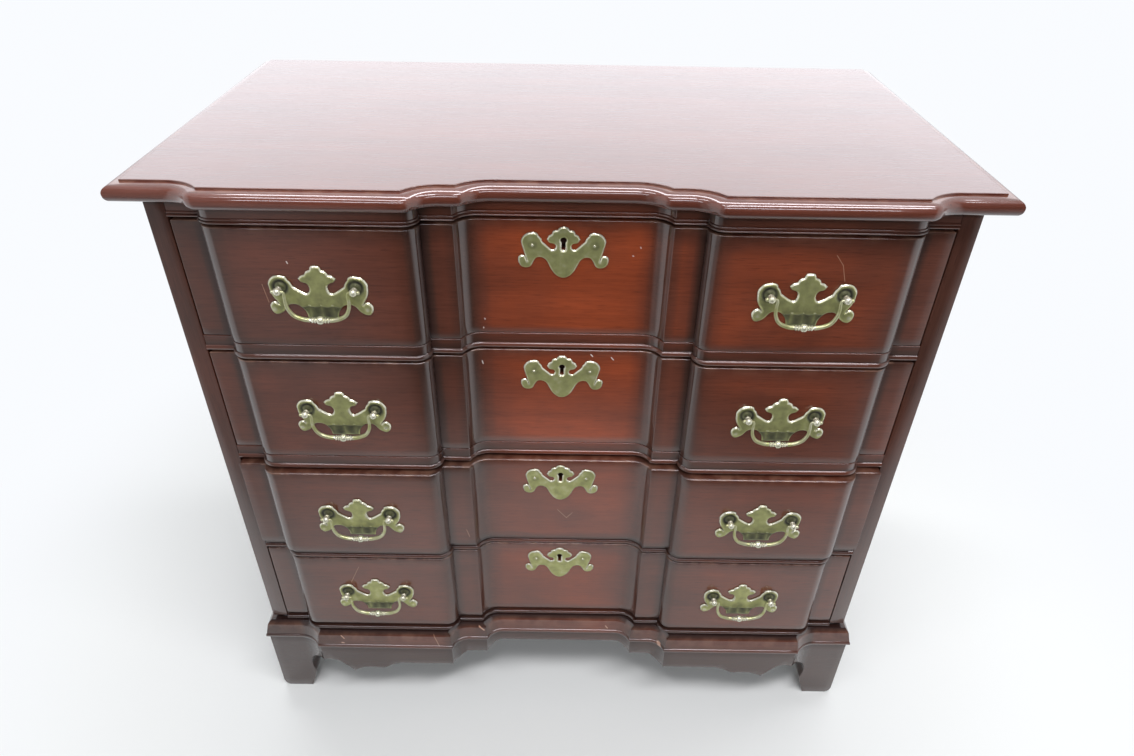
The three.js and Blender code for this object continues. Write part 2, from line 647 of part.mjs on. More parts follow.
const escutcheon_shares = [
  [[0, 0.44], [0.176, 0.34], [0.242, 0.292], [0.364, 0.138]],
  [
    [0.364, 0.138],
    [0.303, 0.053],
    [0.21, 0.03],
    [0.172, -0.02],
    [0.19, -0.085],
    [0.259, -0.105],
    [0.35, -0.03],
    [0.465, 0.081],
  ],
  [[0.465, 0.081], [0.558, 0.242], [0.646, 0.3]],
  [[0.646, 0.3], [0.79, 0.262], [0.9, 0.15], [0.929, 0.04], [0.87, -0.12], [0.802, -0.384]],
  [
    [0.802, -0.384],
    [0.84, -0.28],
    [0.909, -0.25],
    [0.985, -0.29],
    [0.998, -0.38],
    [0.96, -0.48],
    [0.885, -0.54],
    [0.78, -0.545],
    [0.71, -0.5],
    [0.65, -0.38],
    [0.592, -0.308],
    [0.505, -0.292],
    [0.42, -0.325],
    [0.36, -0.392],
    [0.279, -0.562],
  ],
  [[0.279, -0.562], [0.22, -0.64], [0.141, -0.712], [0, -0.796]],
];
const post_share = 0.693;

function plateOutline(width, plate_shares) {
  const half = width / 2;
  const right = pointsOfCurves(plate_shares.map((stroke) => [
    new THREE.SplineCurve(stroke.map(([x, z]) => new THREE.Vector2(x * half, z * half))),
    stroke.length - 1,
  ]));
  const left = right.map((p) => new THREE.Vector2(-p.x, p.y)).reverse();
  return [...right, ...left].filter((p, i, all) => p.distanceTo(all[(i + 1) % all.length]) > FIT_GAP / 10);
}

function plate(width, thickness, plate_shares, hole) {
  const shape = new THREE.Shape(plateOutline(width, plate_shares));
  if (hole) shape.holes.push(hole);
  return elevation(shape, -thickness - FIT_GAP, -FIT_GAP);
}

// Backplate of a pull with its two posts, on a block whose face is at Y = 0; the knuckle at the end of each
// post is bored for the bail's pin
const postReach = (PULL_WIDTH / 2) * post_share;
function pullPlate() {
  let solid = solidOf(plate(PULL_WIDTH, PLATE_THICKNESS, pull_plate_shares));
  const sides = 10;
  for (const x of [-postReach, postReach]) {
    const plateFront = -FIT_GAP - PLATE_THICKNESS;
    const rosetteLength = PLATE_THICKNESS / 2 + ROSETTE_THICKNESS;
    const rosette = new THREE.CylinderGeometry(ROSETTE_RADIUS, ROSETTE_RADIUS, rosetteLength, sides);
    rosette.translate(x, plateFront + PLATE_THICKNESS / 2 - rosetteLength / 2, 0);
    const postLength = PIVOT_REACH + plateFront + PLATE_THICKNESS / 2;
    const post = new THREE.CylinderGeometry(POST_RADIUS, POST_RADIUS, postLength, sides);
    post.translate(x, plateFront + PLATE_THICKNESS / 2 - postLength / 2, 0);
    const knuckle = new THREE.SphereGeometry(KNUCKLE_RADIUS, sides, sides - 4).translate(x, -PIVOT_REACH, 0);
    const boreRadius = (PIN_RADIUS + PIN_CLEARANCE) / Math.cos(Math.PI / sides);
    const bore = new THREE.CylinderGeometry(boreRadius, boreRadius, 4 * KNUCKLE_RADIUS, sides);
    bore.rotateZ(Math.PI / 2).translate(x, -PIVOT_REACH, 0);
    solid = solid.add(solidOf(rosette)).add(solidOf(post)).add(solidOf(knuckle)).subtract(solidOf(bore));
  }
  return geometryOf(solid);
}

// Bail, hanging below its pivots at X and Z = 0: pins through the knuckles, then a bow with turned beads
function bail() {
  const at = (x, z) => new THREE.Vector3(x, 0, z);
  // Course of the bow, as shares of its half width and of its drop
  const bow_shares = [
    [1, 0.1],
    [1.01, 0.35],
    [0.97, 0.6],
    [0.82, 0.84],
    [0.55, 0.965],
    [0.3, 1],
  ];
  const bow = new THREE.CatmullRomCurve3(
    bow_shares.map(([along, drop]) => at(BAIL_HALF_WIDTH * along, -BAIL_DROP * drop)),
  );
  const bowSteps = 7;
  const half = [
    [at(PIN_END, 0), PIN_END_RADIUS],
    [at(PIN_END - PIN_END_RADIUS, 0), PIN_END_RADIUS],
    [at(PIN_END - PIN_END_RADIUS - FIT_GAP, 0), PIN_RADIUS],
    [at(BAIL_HALF_WIDTH + PIN_RADIUS, 0), PIN_RADIUS],
    ...bow.getPoints(bowSteps).map((p, i) => [
      p,
      BAIL_END_RADIUS + ((BAIL_MIDDLE_RADIUS - BAIL_END_RADIUS) * i) / bowSteps,
    ]),
    [at(BAIL_BEAD_PITCH * 2, -BAIL_DROP), BAIL_END_RADIUS],
    [at(BAIL_BEAD_PITCH * 1.5, -BAIL_DROP), BAIL_MIDDLE_RADIUS * 1.2],
    [at(BAIL_BEAD_PITCH, -BAIL_DROP), BAIL_END_RADIUS],
    [at(BAIL_BEAD_PITCH / 3, -BAIL_DROP), BAIL_BEAD_RADIUS],
  ];
  const rows = [...half, ...half.map(([p, radius]) => [at(-p.x, p.z), radius]).reverse()];
  return roundBar(rows.map(([p]) => p), rows.map(([, radius]) => radius));
}

// A closed round bar in the plane Y = 0, through points with a radius at each
function roundBar(points, radii) {
  const sides = 6;
  const positions = [];
  points.forEach((p, i) => {
    const before = points[Math.max(0, i - 1)];
    const after = points[Math.min(points.length - 1, i + 1)];
    const along = after.clone().sub(before).normalize();
    const across = new THREE.Vector3(-along.z, 0, along.x);
    for (let s = 0; s < sides; s += 1) {
      const angle = (2 * Math.PI * s) / sides;
      const corner = p.clone().addScaledVector(across, radii[i] * Math.cos(angle));
      positions.push(corner.x, corner.y - radii[i] * Math.sin(angle), corner.z);
    }
  });
  const faces = [];
  for (let i = 0; i < points.length - 1; i += 1) {
    for (let s = 0; s < sides; s += 1) {
      const a = i * sides + s;
      const b = i * sides + ((s + 1) % sides);
      faces.push(a, b, b + sides, a, b + sides, a + sides);
    }
  }
  const last = (points.length - 1) * sides;
  for (let s = 1; s < sides - 1; s += 1) faces.push(0, s + 1, s, last, last + s, last + s + 1);
  return new THREE.BufferGeometry()
    .setAttribute("position", new THREE.Float32BufferAttribute(positions, 3))
    .setIndex(faces);
}

// Escutcheon with its keyhole, on the flat middle of a drawer front
function escutcheon() {
  const at = (x, z) => new THREE.Vector2(x, z);
  const slot = KEYHOLE_SLOT / 2;
  const meet = Math.sqrt(KEYHOLE_RADIUS ** 2 - slot ** 2);
  const start = Math.atan2(-meet, slot);
  const points = Array.from({ length: 9 }, (_, i) => {
    const angle = start + ((2 * Math.PI + 2 * (-Math.PI / 2 - start)) * i) / 8;
    return at(KEYHOLE_RADIUS * Math.cos(angle), KEYHOLE_RISE + KEYHOLE_RADIUS * Math.sin(angle));
  });
  const low = KEYHOLE_RISE + KEYHOLE_RADIUS - KEYHOLE_LENGTH;
  const hole = new THREE.Path([...points, at(-slot, low), at(slot, low), points[0]]);
  return plate(ESCUTCHEON_WIDTH, ESCUTCHEON_THICKNESS, escutcheon_shares, hole);
}

const frontGeometry = drawerFront();
const pullGeometry = pullPlate();
const bailGeometry = bail();
const escutcheonGeometry = escutcheon();
for (let n = 1; n <= DRAWERS; n += 1) {
  const open = n === 3 ? THIRD_DRAWER_OPEN : 0;
  const frontFoot = FRIEZE_BOTTOM - (n - 1) * DRAWER_PITCH - OPENING_HEIGHT + DRAWER_BOTTOM_GAP;
  const drawer = addGroup(chest, 0, -open, frontFoot);
  addPiece(drawer, `drawer_${n}_front`, frontGeometry, MAHOGANY);
  addPiece(drawer, `drawer_${n}_side_left`, drawerSide(-1), INSIDE_WOOD);
  addPiece(drawer, `drawer_${n}_side_right`, drawerSide(1), INSIDE_WOOD);
  const rearHalf = boxInnerHalf - FIT_GAP;
  const rearFront = DRAWER_LENGTH - DRAWER_BACK_THICKNESS;
  const rearFoot = bottomHigh + FIT_GAP;
  const rear = board([-rearHalf, rearFront, rearFoot], [rearHalf, DRAWER_LENGTH, sideTop]);
  addPiece(drawer, `drawer_${n}_back`, rear, INSIDE_WOOD);
  const bottomHalf = boxInnerHalf + GROOVE_DEPTH;
  const bottomFront = FRONT_BACK + FIT_GAP;
  const bottom = board([-bottomHalf, bottomFront, bottomLow], [bottomHalf, DRAWER_LENGTH, bottomHigh]);
  addPiece(drawer, `drawer_${n}_bottom`, bottom, INSIDE_WOOD);
  for (const [side, sign] of [["left", -1], ["right", 1]]) {
    const pull = addGroup(drawer, sign * PULL_OFFSET, -BLOCK_STEP, FRONT_HEIGHT / 2 + PULL_RISE);
    addPiece(pull, `drawer_${n}_pull_plate_${side}`, pullGeometry, AGED_BRASS);
    addPiece(pull, `drawer_${n}_bail_${side}`, bailGeometry, AGED_BRASS).position.y = -PIVOT_REACH;
  }
  const lockPlace = addGroup(drawer, 0, RECESS_STEP, FRONT_HEIGHT - ESCUTCHEON_TOP_DROP);
  addPiece(lockPlace, `drawer_${n}_escutcheon`, escutcheonGeometry, AGED_BRASS);
}

// The chest's own origin is the middle of the rectangle that it covers, on the floor
const bounds = new THREE.Box3().setFromObject(chest);
const centre = bounds.getCenter(new THREE.Vector3());
chest.position.set(-centre.x, -centre.y, -bounds.min.z);

export default chest;
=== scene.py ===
# %% [markdown]
# # A block front chest of drawers
#
# The chest has four long drawers. Its front comes forward in two rounded blocks and steps back in the middle,
# and every rail, the top and the base follow that line. The wood is mahogany under a dark glossy finish, and
# the pulls and escutcheons are cast brass that has aged to olive.
#
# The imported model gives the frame: which solids there are, where they stand and how they move. This script
# dresses them. Sizes are in millimetres, measured from the centre line, from the front of the stiles and from
# the floor, and one function turns them into metres in the frame.

# %% Load the frame
import math

import bmesh
import bpy
import numpy as np
from mathutils import Matrix, Vector
from mathutils.geometry import delaunay_2d_cdt


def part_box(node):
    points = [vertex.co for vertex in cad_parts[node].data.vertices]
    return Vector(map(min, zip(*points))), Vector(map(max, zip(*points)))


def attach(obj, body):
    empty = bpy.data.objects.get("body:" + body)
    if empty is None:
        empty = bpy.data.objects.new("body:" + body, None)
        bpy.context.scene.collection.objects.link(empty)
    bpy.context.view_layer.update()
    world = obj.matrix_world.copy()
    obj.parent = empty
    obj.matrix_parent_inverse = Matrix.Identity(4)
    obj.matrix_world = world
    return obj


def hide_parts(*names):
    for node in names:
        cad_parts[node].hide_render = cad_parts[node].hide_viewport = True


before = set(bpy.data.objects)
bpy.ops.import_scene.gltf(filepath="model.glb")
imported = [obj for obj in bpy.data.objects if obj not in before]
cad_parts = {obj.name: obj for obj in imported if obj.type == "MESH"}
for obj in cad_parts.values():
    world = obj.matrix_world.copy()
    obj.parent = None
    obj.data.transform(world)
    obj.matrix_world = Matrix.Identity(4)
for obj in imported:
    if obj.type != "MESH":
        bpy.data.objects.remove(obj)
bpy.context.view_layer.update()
MM = 0.001
STILE_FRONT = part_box("stile_left")[0].y
ZERO = np.array([0, STILE_FRONT, 0])
DRAWERS = (1, 2, 3, 4)
SIDES = (("left", -1), ("right", 1))


def in_frame(x, y, z):
    """A place in millimetres, measured from the stiles and the floor, in the frame's metres."""
    return Vector((x * MM, y * MM + STILE_FRONT, z * MM))


def new_object(name, data):
    made = bpy.data.objects.new(name, data)
    bpy.context.scene.collection.objects.link(made)
    return made


# %% [markdown]
# ## Camera
#
# A camera can be placed by eye or worked out from edges whose places on the object are known. Here the second
# way was used: the corners of the top, the feet and the drawers gave its place, its turn and its lens. The
# turn is written as three angles, which stay readable, and made into a matrix.

# %% Camera
CAMERA_PLACE = (3.7, -753.4, 1146.1)
CAMERA_YAW, CAMERA_PITCH, CAMERA_ROLL = math.radians(0.188), math.radians(35.398), math.radians(-1.001)
FOCAL_PIXELS, IMAGE_WIDTH, SENSOR_WIDTH = 781.3, 1134, 36.0


def add_camera():
    ahead = Vector((
        math.sin(CAMERA_YAW) * math.cos(CAMERA_PITCH),
        math.cos(CAMERA_YAW) * math.cos(CAMERA_PITCH),
        -math.sin(CAMERA_PITCH),
    ))
    level = Vector((math.cos(CAMERA_YAW), -math.sin(CAMERA_YAW), 0))
    down = ahead.cross(level)
    right = level * math.cos(CAMERA_ROLL) + down * math.sin(CAMERA_ROLL)
    data = bpy.data.cameras.new("camera")
    data.sensor_width = SENSOR_WIDTH
    data.lens = FOCAL_PIXELS / IMAGE_WIDTH * SENSOR_WIDTH
    camera = new_object("camera", data)
    turn = Matrix((right, right.cross(ahead), -ahead)).transposed().to_4x4()
    camera.matrix_world = Matrix.Translation(in_frame(*CAMERA_PLACE)) @ turn
    bpy.context.scene.camera = camera
    return camera


print("camera at", [round(v, 3) for v in add_camera().location])

# %% [markdown]
# ## Meshes from points
#
# Most pieces are worked wood: a moulding is one profile run along one line, which is easiest to get right by
# writing its points. A piece is a list of points and a list of faces. Two numbers are stored on every point
# for the finish: "tone", which is 0 where the finish is nearly black and 1 where it is clear and red, and
# which on some parts also holds painted shade and painted highlights; and a second number, which is 1 on the
# sharp edges that hands and dusters rub, and which on upper arrises also makes a painted highlight.

# %% Helpers that make pieces
SMOOTH_ANGLE = math.radians(32)


def add_piece(name, points, faces, finish, tone=0.0, wear_and_highlight=0.0):
    """A mesh object from points in millimetres, with its place in its mesh."""
    mesh = bpy.data.meshes.new(name)
    mesh.from_pydata((np.asarray(points, float) * MM + ZERO).tolist(), [], [list(face) for face in faces])
    mesh.materials.append(finish)
    return finish_mesh(new_object(name, mesh), tone, wear_and_highlight)


def finish_mesh(piece, tone=0.0, wear_and_highlight=0.0):
    """Smooth shading with sharp edges, and tone and wear: numbers, or rules that are given the places."""
    mesh = piece.data
    mesh.validate()
    mesh.shade_smooth()
    mesh.set_sharp_from_angle(angle=SMOOTH_ANGLE)
    places = np.zeros(len(mesh.vertices) * 3)
    mesh.vertices.foreach_get("co", places)
    places = (places.reshape(-1, 3) - ZERO) / MM
    for key, rule in (("tone", tone), ("wear_and_highlight", wear_and_highlight)):
        if key in mesh.attributes:
            mesh.attributes.remove(mesh.attributes[key])
        values = np.full(len(places), rule(places) if callable(rule) else rule, np.float32)
        mesh.attributes.new(key, "FLOAT", "POINT").data.foreach_set("value", values)
    return piece


def dress(piece, body, slot, *nodes):
    """The piece rides on a body and stands for the nodes, which are hidden; the slot is not used."""
    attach(piece, body)
    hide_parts(*nodes)
    return piece


def evaluated(piece):
    """The mesh that a piece's modifiers make."""
    return bpy.data.meshes.new_from_object(piece.evaluated_get(bpy.context.evaluated_depsgraph_get()))


def apply_modifiers(piece):
    shape = evaluated(piece)
    piece.modifiers.clear()
    spare, piece.data = piece.data, shape
    shape.name = piece.name
    bpy.data.meshes.remove(spare)


def cut(piece, tool_part, operation):
    """Takes a solid away from the piece, or keeps only what is inside it; the solid is only a tool."""
    tool = add_piece("tool", *tool_part, piece.data.materials[0])
    knife = piece.modifiers.new("cut", "BOOLEAN")
    knife.operation, knife.solver, knife.object = operation, "EXACT", tool
    apply_modifiers(piece)
    bpy.data.objects.remove(tool)


print("edges sharper than", round(math.degrees(SMOOTH_ANGLE)), "degrees stay sharp")

# %% Lines and solids
def flat_run(start, end, pitch=12.0):
    """Points from start towards end, without end."""
    count = max(1, round(math.dist(start, end) / pitch))
    return [tuple(a + (b - a) * i / count for a, b in zip(start, end)) for i in range(count)]


def hollow(tangent, corner, steps=12):
    """A curve that leaves a face at tangent, running across it, and ends in the corner."""
    dx, dy = corner[0] - tangent[0], corner[1] - tangent[1]
    radius = (dx * dx + dy * dy) / (2 * dy)
    turn = math.atan2(dx / radius, 1 - dy / radius)
    angles = [turn * i / steps for i in range(steps + 1)]
    return [(tangent[0] + radius * math.sin(a), tangent[1] + radius * (1 - math.cos(a))) for a in angles]


def eased(before, corner, after, radius, steps=4):
    """The corner between two points, rounded; a radius of zero keeps it sharp."""
    if not radius:
        return [tuple(corner)]
    before, corner, after = Vector(before), Vector(corner), Vector(after)
    into, out = (corner - before).normalized(), (after - corner).normalized()
    reach = radius * math.tan(math.acos(max(-1, min(1, into.dot(out)))) / 2)
    start, end = corner - into * reach, corner + out * reach
    shares = [i / steps for i in range(steps + 1)]
    return [tuple(start * (1 - t) ** 2 + corner * 2 * t * (1 - t) + end * t * t) for t in shares]


def through(points, steps):
    """A smooth curve through points."""
    made = []
    points = [np.array(p, float) for p in points]
    for i in range(len(points) - 1):
        a, b, c, d = points[max(i - 1, 0)], points[i], points[i + 1], points[min(i + 2, len(points) - 1)]
        for t in (s / steps for s in range(steps)):
            bend = (c - a) / 2 * t + (2 * a - 5 * b + 4 * c - d) / 2 * t * t
            made.append(tuple(b + (bend + (3 * b - a - 3 * c + d) / 2 * t ** 3)))
    return made + [tuple(points[-1])]


def arc(centre, radius, start, end, steps=6):
    """Points of an arc in a profile, with angles in degrees from straight forward."""
    turns = [math.radians(start + (end - start) * i / steps) for i in range(steps + 1)]
    return [(centre[0] + radius * math.cos(t), centre[1] + radius * math.sin(t)) for t in turns]


def half_turn(steps):
    return [math.pi * i / steps for i in range(steps + 1)]


def flipped(line):
    return [(-x, y) for x, y in reversed(line)]


def both_halves(half):
    """A line that runs from left to right, out of its right half, which starts on the centre line."""
    return flipped(half[1:]) + list(half)


def outward_steps(line, last=None):
    """For each point of a line, the step that moves the line forward and keeps its corners true."""
    line = np.array(line)
    along = np.diff(line, axis=0)
    along /= np.linalg.norm(along, axis=1)[:, None]
    normal = np.stack([along[:, 1], -along[:, 0]], axis=1)
    before = np.vstack([normal[:1] if last is None else [[-last, 0]], normal])
    after = np.vstack([normal, normal[-1:] if last is None else [[last, 0]]])
    return (before + after) / (1 + (before * after).sum(axis=1))[:, None]


def ring_faces(levels, ring):
    """The faces between closed rings of points that follow one another."""
    faces = []
    for j in range(levels - 1):
        for i in range(ring):
            a, b = j * ring + i, j * ring + (i + 1) % ring
            faces.append((a, b, b + ring, a + ring))
    return faces


def strip_solid(fronts, backs, levels):
    """A closed solid between a front line and a back line that run side by side, at several levels."""
    count = len(fronts[0])
    ring = 2 * count
    points = []
    for front, back, level in zip(fronts, backs, levels):
        points += [(x, y, level) for x, y in [*front, *reversed(back)]]
    faces = ring_faces(len(levels), ring)
    top = (len(levels) - 1) * ring
    for i in range(count - 1):
        low, high = ring - 1 - i, ring - 2 - i
        faces += [(i, low, high, i + 1), (top + i, top + i + 1, top + high, top + low)]
    return points, faces


def joined(*parts):
    """Several lists of points and faces as one."""
    points, faces = [], []
    for some_points, some_faces in parts:
        start = len(points)
        points += list(some_points)
        faces += [tuple(i + start for i in face) for face in some_faces]
    return points, faces


def turned_back(faces):
    return [tuple(reversed(face)) for face in faces]


def mirrored(points, faces):
    return [(-x, y, z) for x, y, z in points], turned_back(faces)


def prism(outline, axis, low, high):
    """A flat outline pushed along X or Y; it runs anticlockwise seen from the side it is pushed towards."""
    count = len(outline)
    points = [(w, u, v) if axis == "X" else (u, w, v) for w in (low, high) for u, v in outline]
    faces = ring_faces(2, count) + [tuple(reversed(range(count))), tuple(range(count, 2 * count))]
    return points, faces if axis == "X" else turned_back(faces)


def board(low, high, arris=0.7):
    """A board between two corners, with eased arrises."""
    shape = bmesh.new()
    bmesh.ops.create_cube(shape, size=1)
    low, high = Vector(low), Vector(high)
    for vertex in shape.verts:
        vertex.co = Vector(low[i] + (high[i] - low[i]) * (vertex.co[i] + 0.5) for i in range(3))
    bmesh.ops.bevel(shape, geom=shape.edges[:], offset=arris, segments=2, profile=0.6, affect="EDGES")
    shape.verts.index_update()
    part = [tuple(v.co) for v in shape.verts], [tuple(v.index for v in f.verts) for f in shape.faces]
    shape.free()
    return part


print("a plain board has", len(board((0, 0, 0), (9, 9, 9))[1]), "faces")

# %% [markdown]
# ## Finishes
#
# Mahogany under a dark, glossy finish has three scales: broad streaks a hand wide, fine lines along the
# grain, and short dark pores. All three are noise that is stretched along the grain, so they live in one
# group, which every wood uses with its own stretch. Object coordinates are in metres here, because no piece
# is turned or scaled, and so one grain runs through a whole drawer front.
#
# The maker's toning darkens edges, coves and rails. That follows the shape, so it comes from the "tone"
# number of each point and not from a picture. The same number also holds painted light: a painted highlight
# on the beads of the rails, painted shade low on the nose of the top and on the base ledge, and a lighter
# right half.

# %% Nodes in short form
NOISE_SPAN = (0.3, 0.7)  # nearly all values of a noise lie between these


def feed(tree, node, inputs):
    """Links the inputs that come from another node and sets the others."""
    for key, value in inputs.items():
        socket = node.inputs[key]
        if isinstance(value, bpy.types.NodeSocket):
            tree.links.new(value, socket)
        else:
            socket.default_value = (*value, 1.0) if socket.type == "RGBA" else value
    return node


def add_node(tree, kind, inputs, **settings):
    node = tree.nodes.new(kind)
    for key, value in settings.items():
        setattr(node, key, value)
    return feed(tree, node, inputs)


def new_tree(name, inputs, outputs, kind="ShaderNodeTree"):
    """A node group whose sockets are given as labels and kinds."""
    tree = bpy.data.node_groups.new(name, kind)
    for way, sockets in (("INPUT", inputs), ("OUTPUT", outputs)):
        for label, socket in sockets.items():
            tree.interface.new_socket(label, in_out=way, socket_type=f"NodeSocket{socket}")
    return tree, tree.nodes.new("NodeGroupInput").outputs, tree.nodes.new("NodeGroupOutput")


def math_node(tree, operation, first, second=0.0, clamp=False):
    inputs = {0: first, 1: second}
    return add_node(tree, "ShaderNodeMath", inputs, operation=operation, use_clamp=clamp).outputs[0]


def vector_node(tree, operation, inputs, result="Vector"):
    return add_node(tree, "ShaderNodeVectorMath", inputs, operation=operation).outputs[result]


def noise(tree, where, scale, detail, distortion=0.0):
    inputs = {"Vector": where, "Scale": scale, "Detail": detail, "Distortion": distortion}
    return add_node(tree, "ShaderNodeTexNoise", inputs).outputs["Fac"]


def mapped(tree, value, low, high, least=0.0, most=1.0, easing="LINEAR"):
    inputs = {"Value": value, "From Min": low, "From Max": high, "To Min": least, "To Max": most}
    return add_node(tree, "ShaderNodeMapRange", inputs, interpolation_type=easing).outputs["Result"]


def group_node(tree, group, inputs):
    return add_node(tree, "ShaderNodeGroup", inputs, node_tree=group).outputs


def attribute(tree, name):
    return add_node(tree, "ShaderNodeAttribute", {}, attribute_name=name).outputs["Fac"]


def bumped(tree, height, strength, distance):
    inputs = {"Height": height, "Strength": strength, "Distance": distance}
    return add_node(tree, "ShaderNodeBump", inputs).outputs["Normal"]


def ramp(tree, factor, stops):
    """A colour ramp; each stop is a place and a colour."""
    node = add_node(tree, "ShaderNodeValToRGB", {"Fac": factor})
    band = node.color_ramp
    band.interpolation = "LINEAR"
    while len(band.elements) < len(stops):
        band.elements.new(1.0)
    for element, (place, colour) in zip(band.elements, stops):
        element.position, element.color = place, (*colour, 1.0)
    return node.outputs["Color"]


def mix_colour(tree, factor, first, second, blend="MIX"):
    inputs = {0: factor, 6: first, 7: second}
    return add_node(tree, "ShaderNodeMix", inputs, data_type="RGBA", blend_type=blend).outputs[2]


def mix_value(tree, factor, first, second):
    return add_node(tree, "ShaderNodeMix", {0: factor, 2: first, 3: second}).outputs[0]


def new_material(name):
    """A material, its tree, its shader and the place of each point on the piece."""
    material = bpy.data.materials.new(name)
    material.use_nodes = True
    tree = material.node_tree
    place = tree.nodes.new("ShaderNodeTexCoord").outputs["Object"]
    return material, tree, tree.nodes["Principled BSDF"], place


print("noise is read between", *NOISE_SPAN)

# %% Groups
PORE_EDGE, WEAR_AND_HIGHLIGHT_EDGE, MARK_EDGE, RAGGED_SCALE = (0.58, 0.68), (0.42, 0.62), (1.1, 0.6), 900.0


def build_grain():
    """Streaks, fine lines and pores of a wood, out of coordinates that are already stretched along it."""
    group, given, made = new_tree("grain", {
        "Coordinates": "Vector", "Figure Scale": "Float", "Line Scale": "Float", "Pore Scale": "Float",
    }, {"Figure": "Float", "Lines": "Float", "Pores": "Float"})
    where = given["Coordinates"]
    feed(group, made, {
        "Figure": noise(group, where, given["Figure Scale"], 5.0, distortion=0.6),
        "Lines": noise(group, where, given["Line Scale"], 8.0),
        "Pores": mapped(group, noise(group, where, given["Pore Scale"], 2.0), *PORE_EDGE),
    })
    return group


def build_edge_wear_and_highlight():
    """How much an edge is lightened: by rubbing through the finish, and on upper arrises by a painted
    highlight.
    """
    group, given, made = new_tree(
        "edge wear", {"Wear And Highlight": "Float", "Coordinates": "Vector", "Patch Scale": "Float"}, {"Mask": "Float"})
    broken = mapped(group, noise(group, given["Coordinates"], given["Patch Scale"], 6.0), *WEAR_AND_HIGHLIGHT_EDGE)
    feed(group, made, {"Mask": math_node(group, "MULTIPLY", given["Wear And Highlight"], broken)})
    return group


def build_mark():
    """A scratch or a chip: how near a place is, seen from the front, to a short line."""
    group, given, made = new_tree(
        "mark", {"Coordinates": "Vector", "Start": "Vector", "End": "Vector", "Half Width": "Float"},
        {"Mask": "Float"})
    ragged = noise(group, given["Coordinates"], RAGGED_SCALE, 2.0)
    seen = vector_node(group, "MULTIPLY", {0: given["Coordinates"], 1: (1, 0, 1)})
    offset = vector_node(group, "SUBTRACT", {0: seen, 1: given["Start"]})
    span = vector_node(group, "SUBTRACT", {0: given["End"], 1: given["Start"]})
    dots = [vector_node(group, "DOT_PRODUCT", {0: line, 1: span}, "Value") for line in (offset, span)]
    share = math_node(group, "DIVIDE", *dots, clamp=True)
    nearest = vector_node(group, "SCALE", {0: span, "Scale": share})
    apart = vector_node(group, "DISTANCE", {0: offset, 1: nearest}, "Value")
    reach = math_node(group, "MULTIPLY", given["Half Width"], math_node(group, "ADD", ragged, 0.5))
    feed(group, made, {"Mask": mapped(group, math_node(group, "DIVIDE", apart, reach), *MARK_EDGE)})
    return group


grain_group, wear_and_highlight_group, mark_group = build_grain(), build_edge_wear_and_highlight(), build_mark()
print("groups:", [group.name for group in (grain_group, wear_and_highlight_group, mark_group)])

# %% Wood finishes
GRAIN_STRETCH = 0.05  # along the grain everything is this much longer than across it
GRAIN_SCALES = {"Figure Scale": 22.0, "Line Scale": 480.0, "Pore Scale": 1100.0}
CLOUD_SCALE, CLOUD_DEPTH, PATCH_SCALE = 7.0, (0.8, 1.15), 55.0
PORE_COLOUR, PORE_DENT, GRAIN_BUMP, SMOOTHER, ROUGHER = (0.012, 0.005, 0.004), 0.8, (0.25, 0.0003), 0.05, 0.06


def marked(tree, place, colour, marks):
    """The colour with scratches and chips: each has two places on the front, a half width and a colour."""
    for x, z, end_x, end_z, half_width, pale in marks:
        start, end = in_frame(x, 0, z), in_frame(end_x, 0, end_z)
        start.y = end.y = 0
        inputs = {"Coordinates": place, "Start": start, "End": end, "Half Width": half_width * MM}
        colour = mix_colour(tree, group_node(tree, mark_group, inputs)["Mask"], colour, pale)
    return colour


def wood(name, along, tones, worn_and_highlight, depths, roughness, specular, coat, coat_roughness, coat_ior, marks=()):
    """A wood whose grain runs along an axis; tones are the stops of its colour from toned to clear."""
    material, tree, shader, place = new_material(name)
    stretch = tuple(GRAIN_STRETCH if axis == along else 1.0 for axis in "XYZ")
    stretched = add_node(tree, "ShaderNodeMapping", {"Vector": place, "Scale": stretch}).outputs["Vector"]
    grain = group_node(tree, grain_group, {"Coordinates": stretched, **GRAIN_SCALES})
    drift = mapped(tree, noise(tree, place, CLOUD_SCALE, 3.0), *NOISE_SPAN, *CLOUD_DEPTH)
    colour = ramp(tree, math_node(tree, "MULTIPLY", attribute(tree, "tone"), drift), tones)
    figure_depth, line_depth, pore_depth = depths
    for value, depth in ((grain["Figure"], figure_depth), (grain["Lines"], line_depth)):
        shade = mapped(tree, value, *NOISE_SPAN, 1 - depth, 1 + depth)
        grey = add_node(tree, "ShaderNodeCombineColor", {0: shade, 1: shade, 2: shade}).outputs["Color"]
        colour = mix_colour(tree, 1.0, colour, grey, "MULTIPLY")
    colour = mix_colour(tree, math_node(tree, "MULTIPLY", grain["Pores"], pore_depth), colour, PORE_COLOUR)
    # Rubbed edges take the paler colour, and upper arrises take it as a painted highlight too.
    inputs = {"Wear And Highlight": attribute(tree, "wear_and_highlight"), "Coordinates": place, "Patch Scale": PATCH_SCALE}
    colour = mix_colour(tree, group_node(tree, wear_and_highlight_group, inputs)["Mask"], colour, worn_and_highlight)
    dents = math_node(tree, "MULTIPLY", grain["Pores"], PORE_DENT)
    feed(tree, shader, {
        "Base Color": marked(tree, place, colour, marks),
        "Roughness": mapped(tree, grain["Lines"], *NOISE_SPAN, roughness - SMOOTHER, roughness + ROUGHER),
        "Normal": bumped(tree, math_node(tree, "SUBTRACT", grain["Lines"], dents), *GRAIN_BUMP),
        "Specular IOR Level": specular,
        "Coat Weight": coat, "Coat Roughness": coat_roughness, "Coat IOR": coat_ior,
    })
    return material


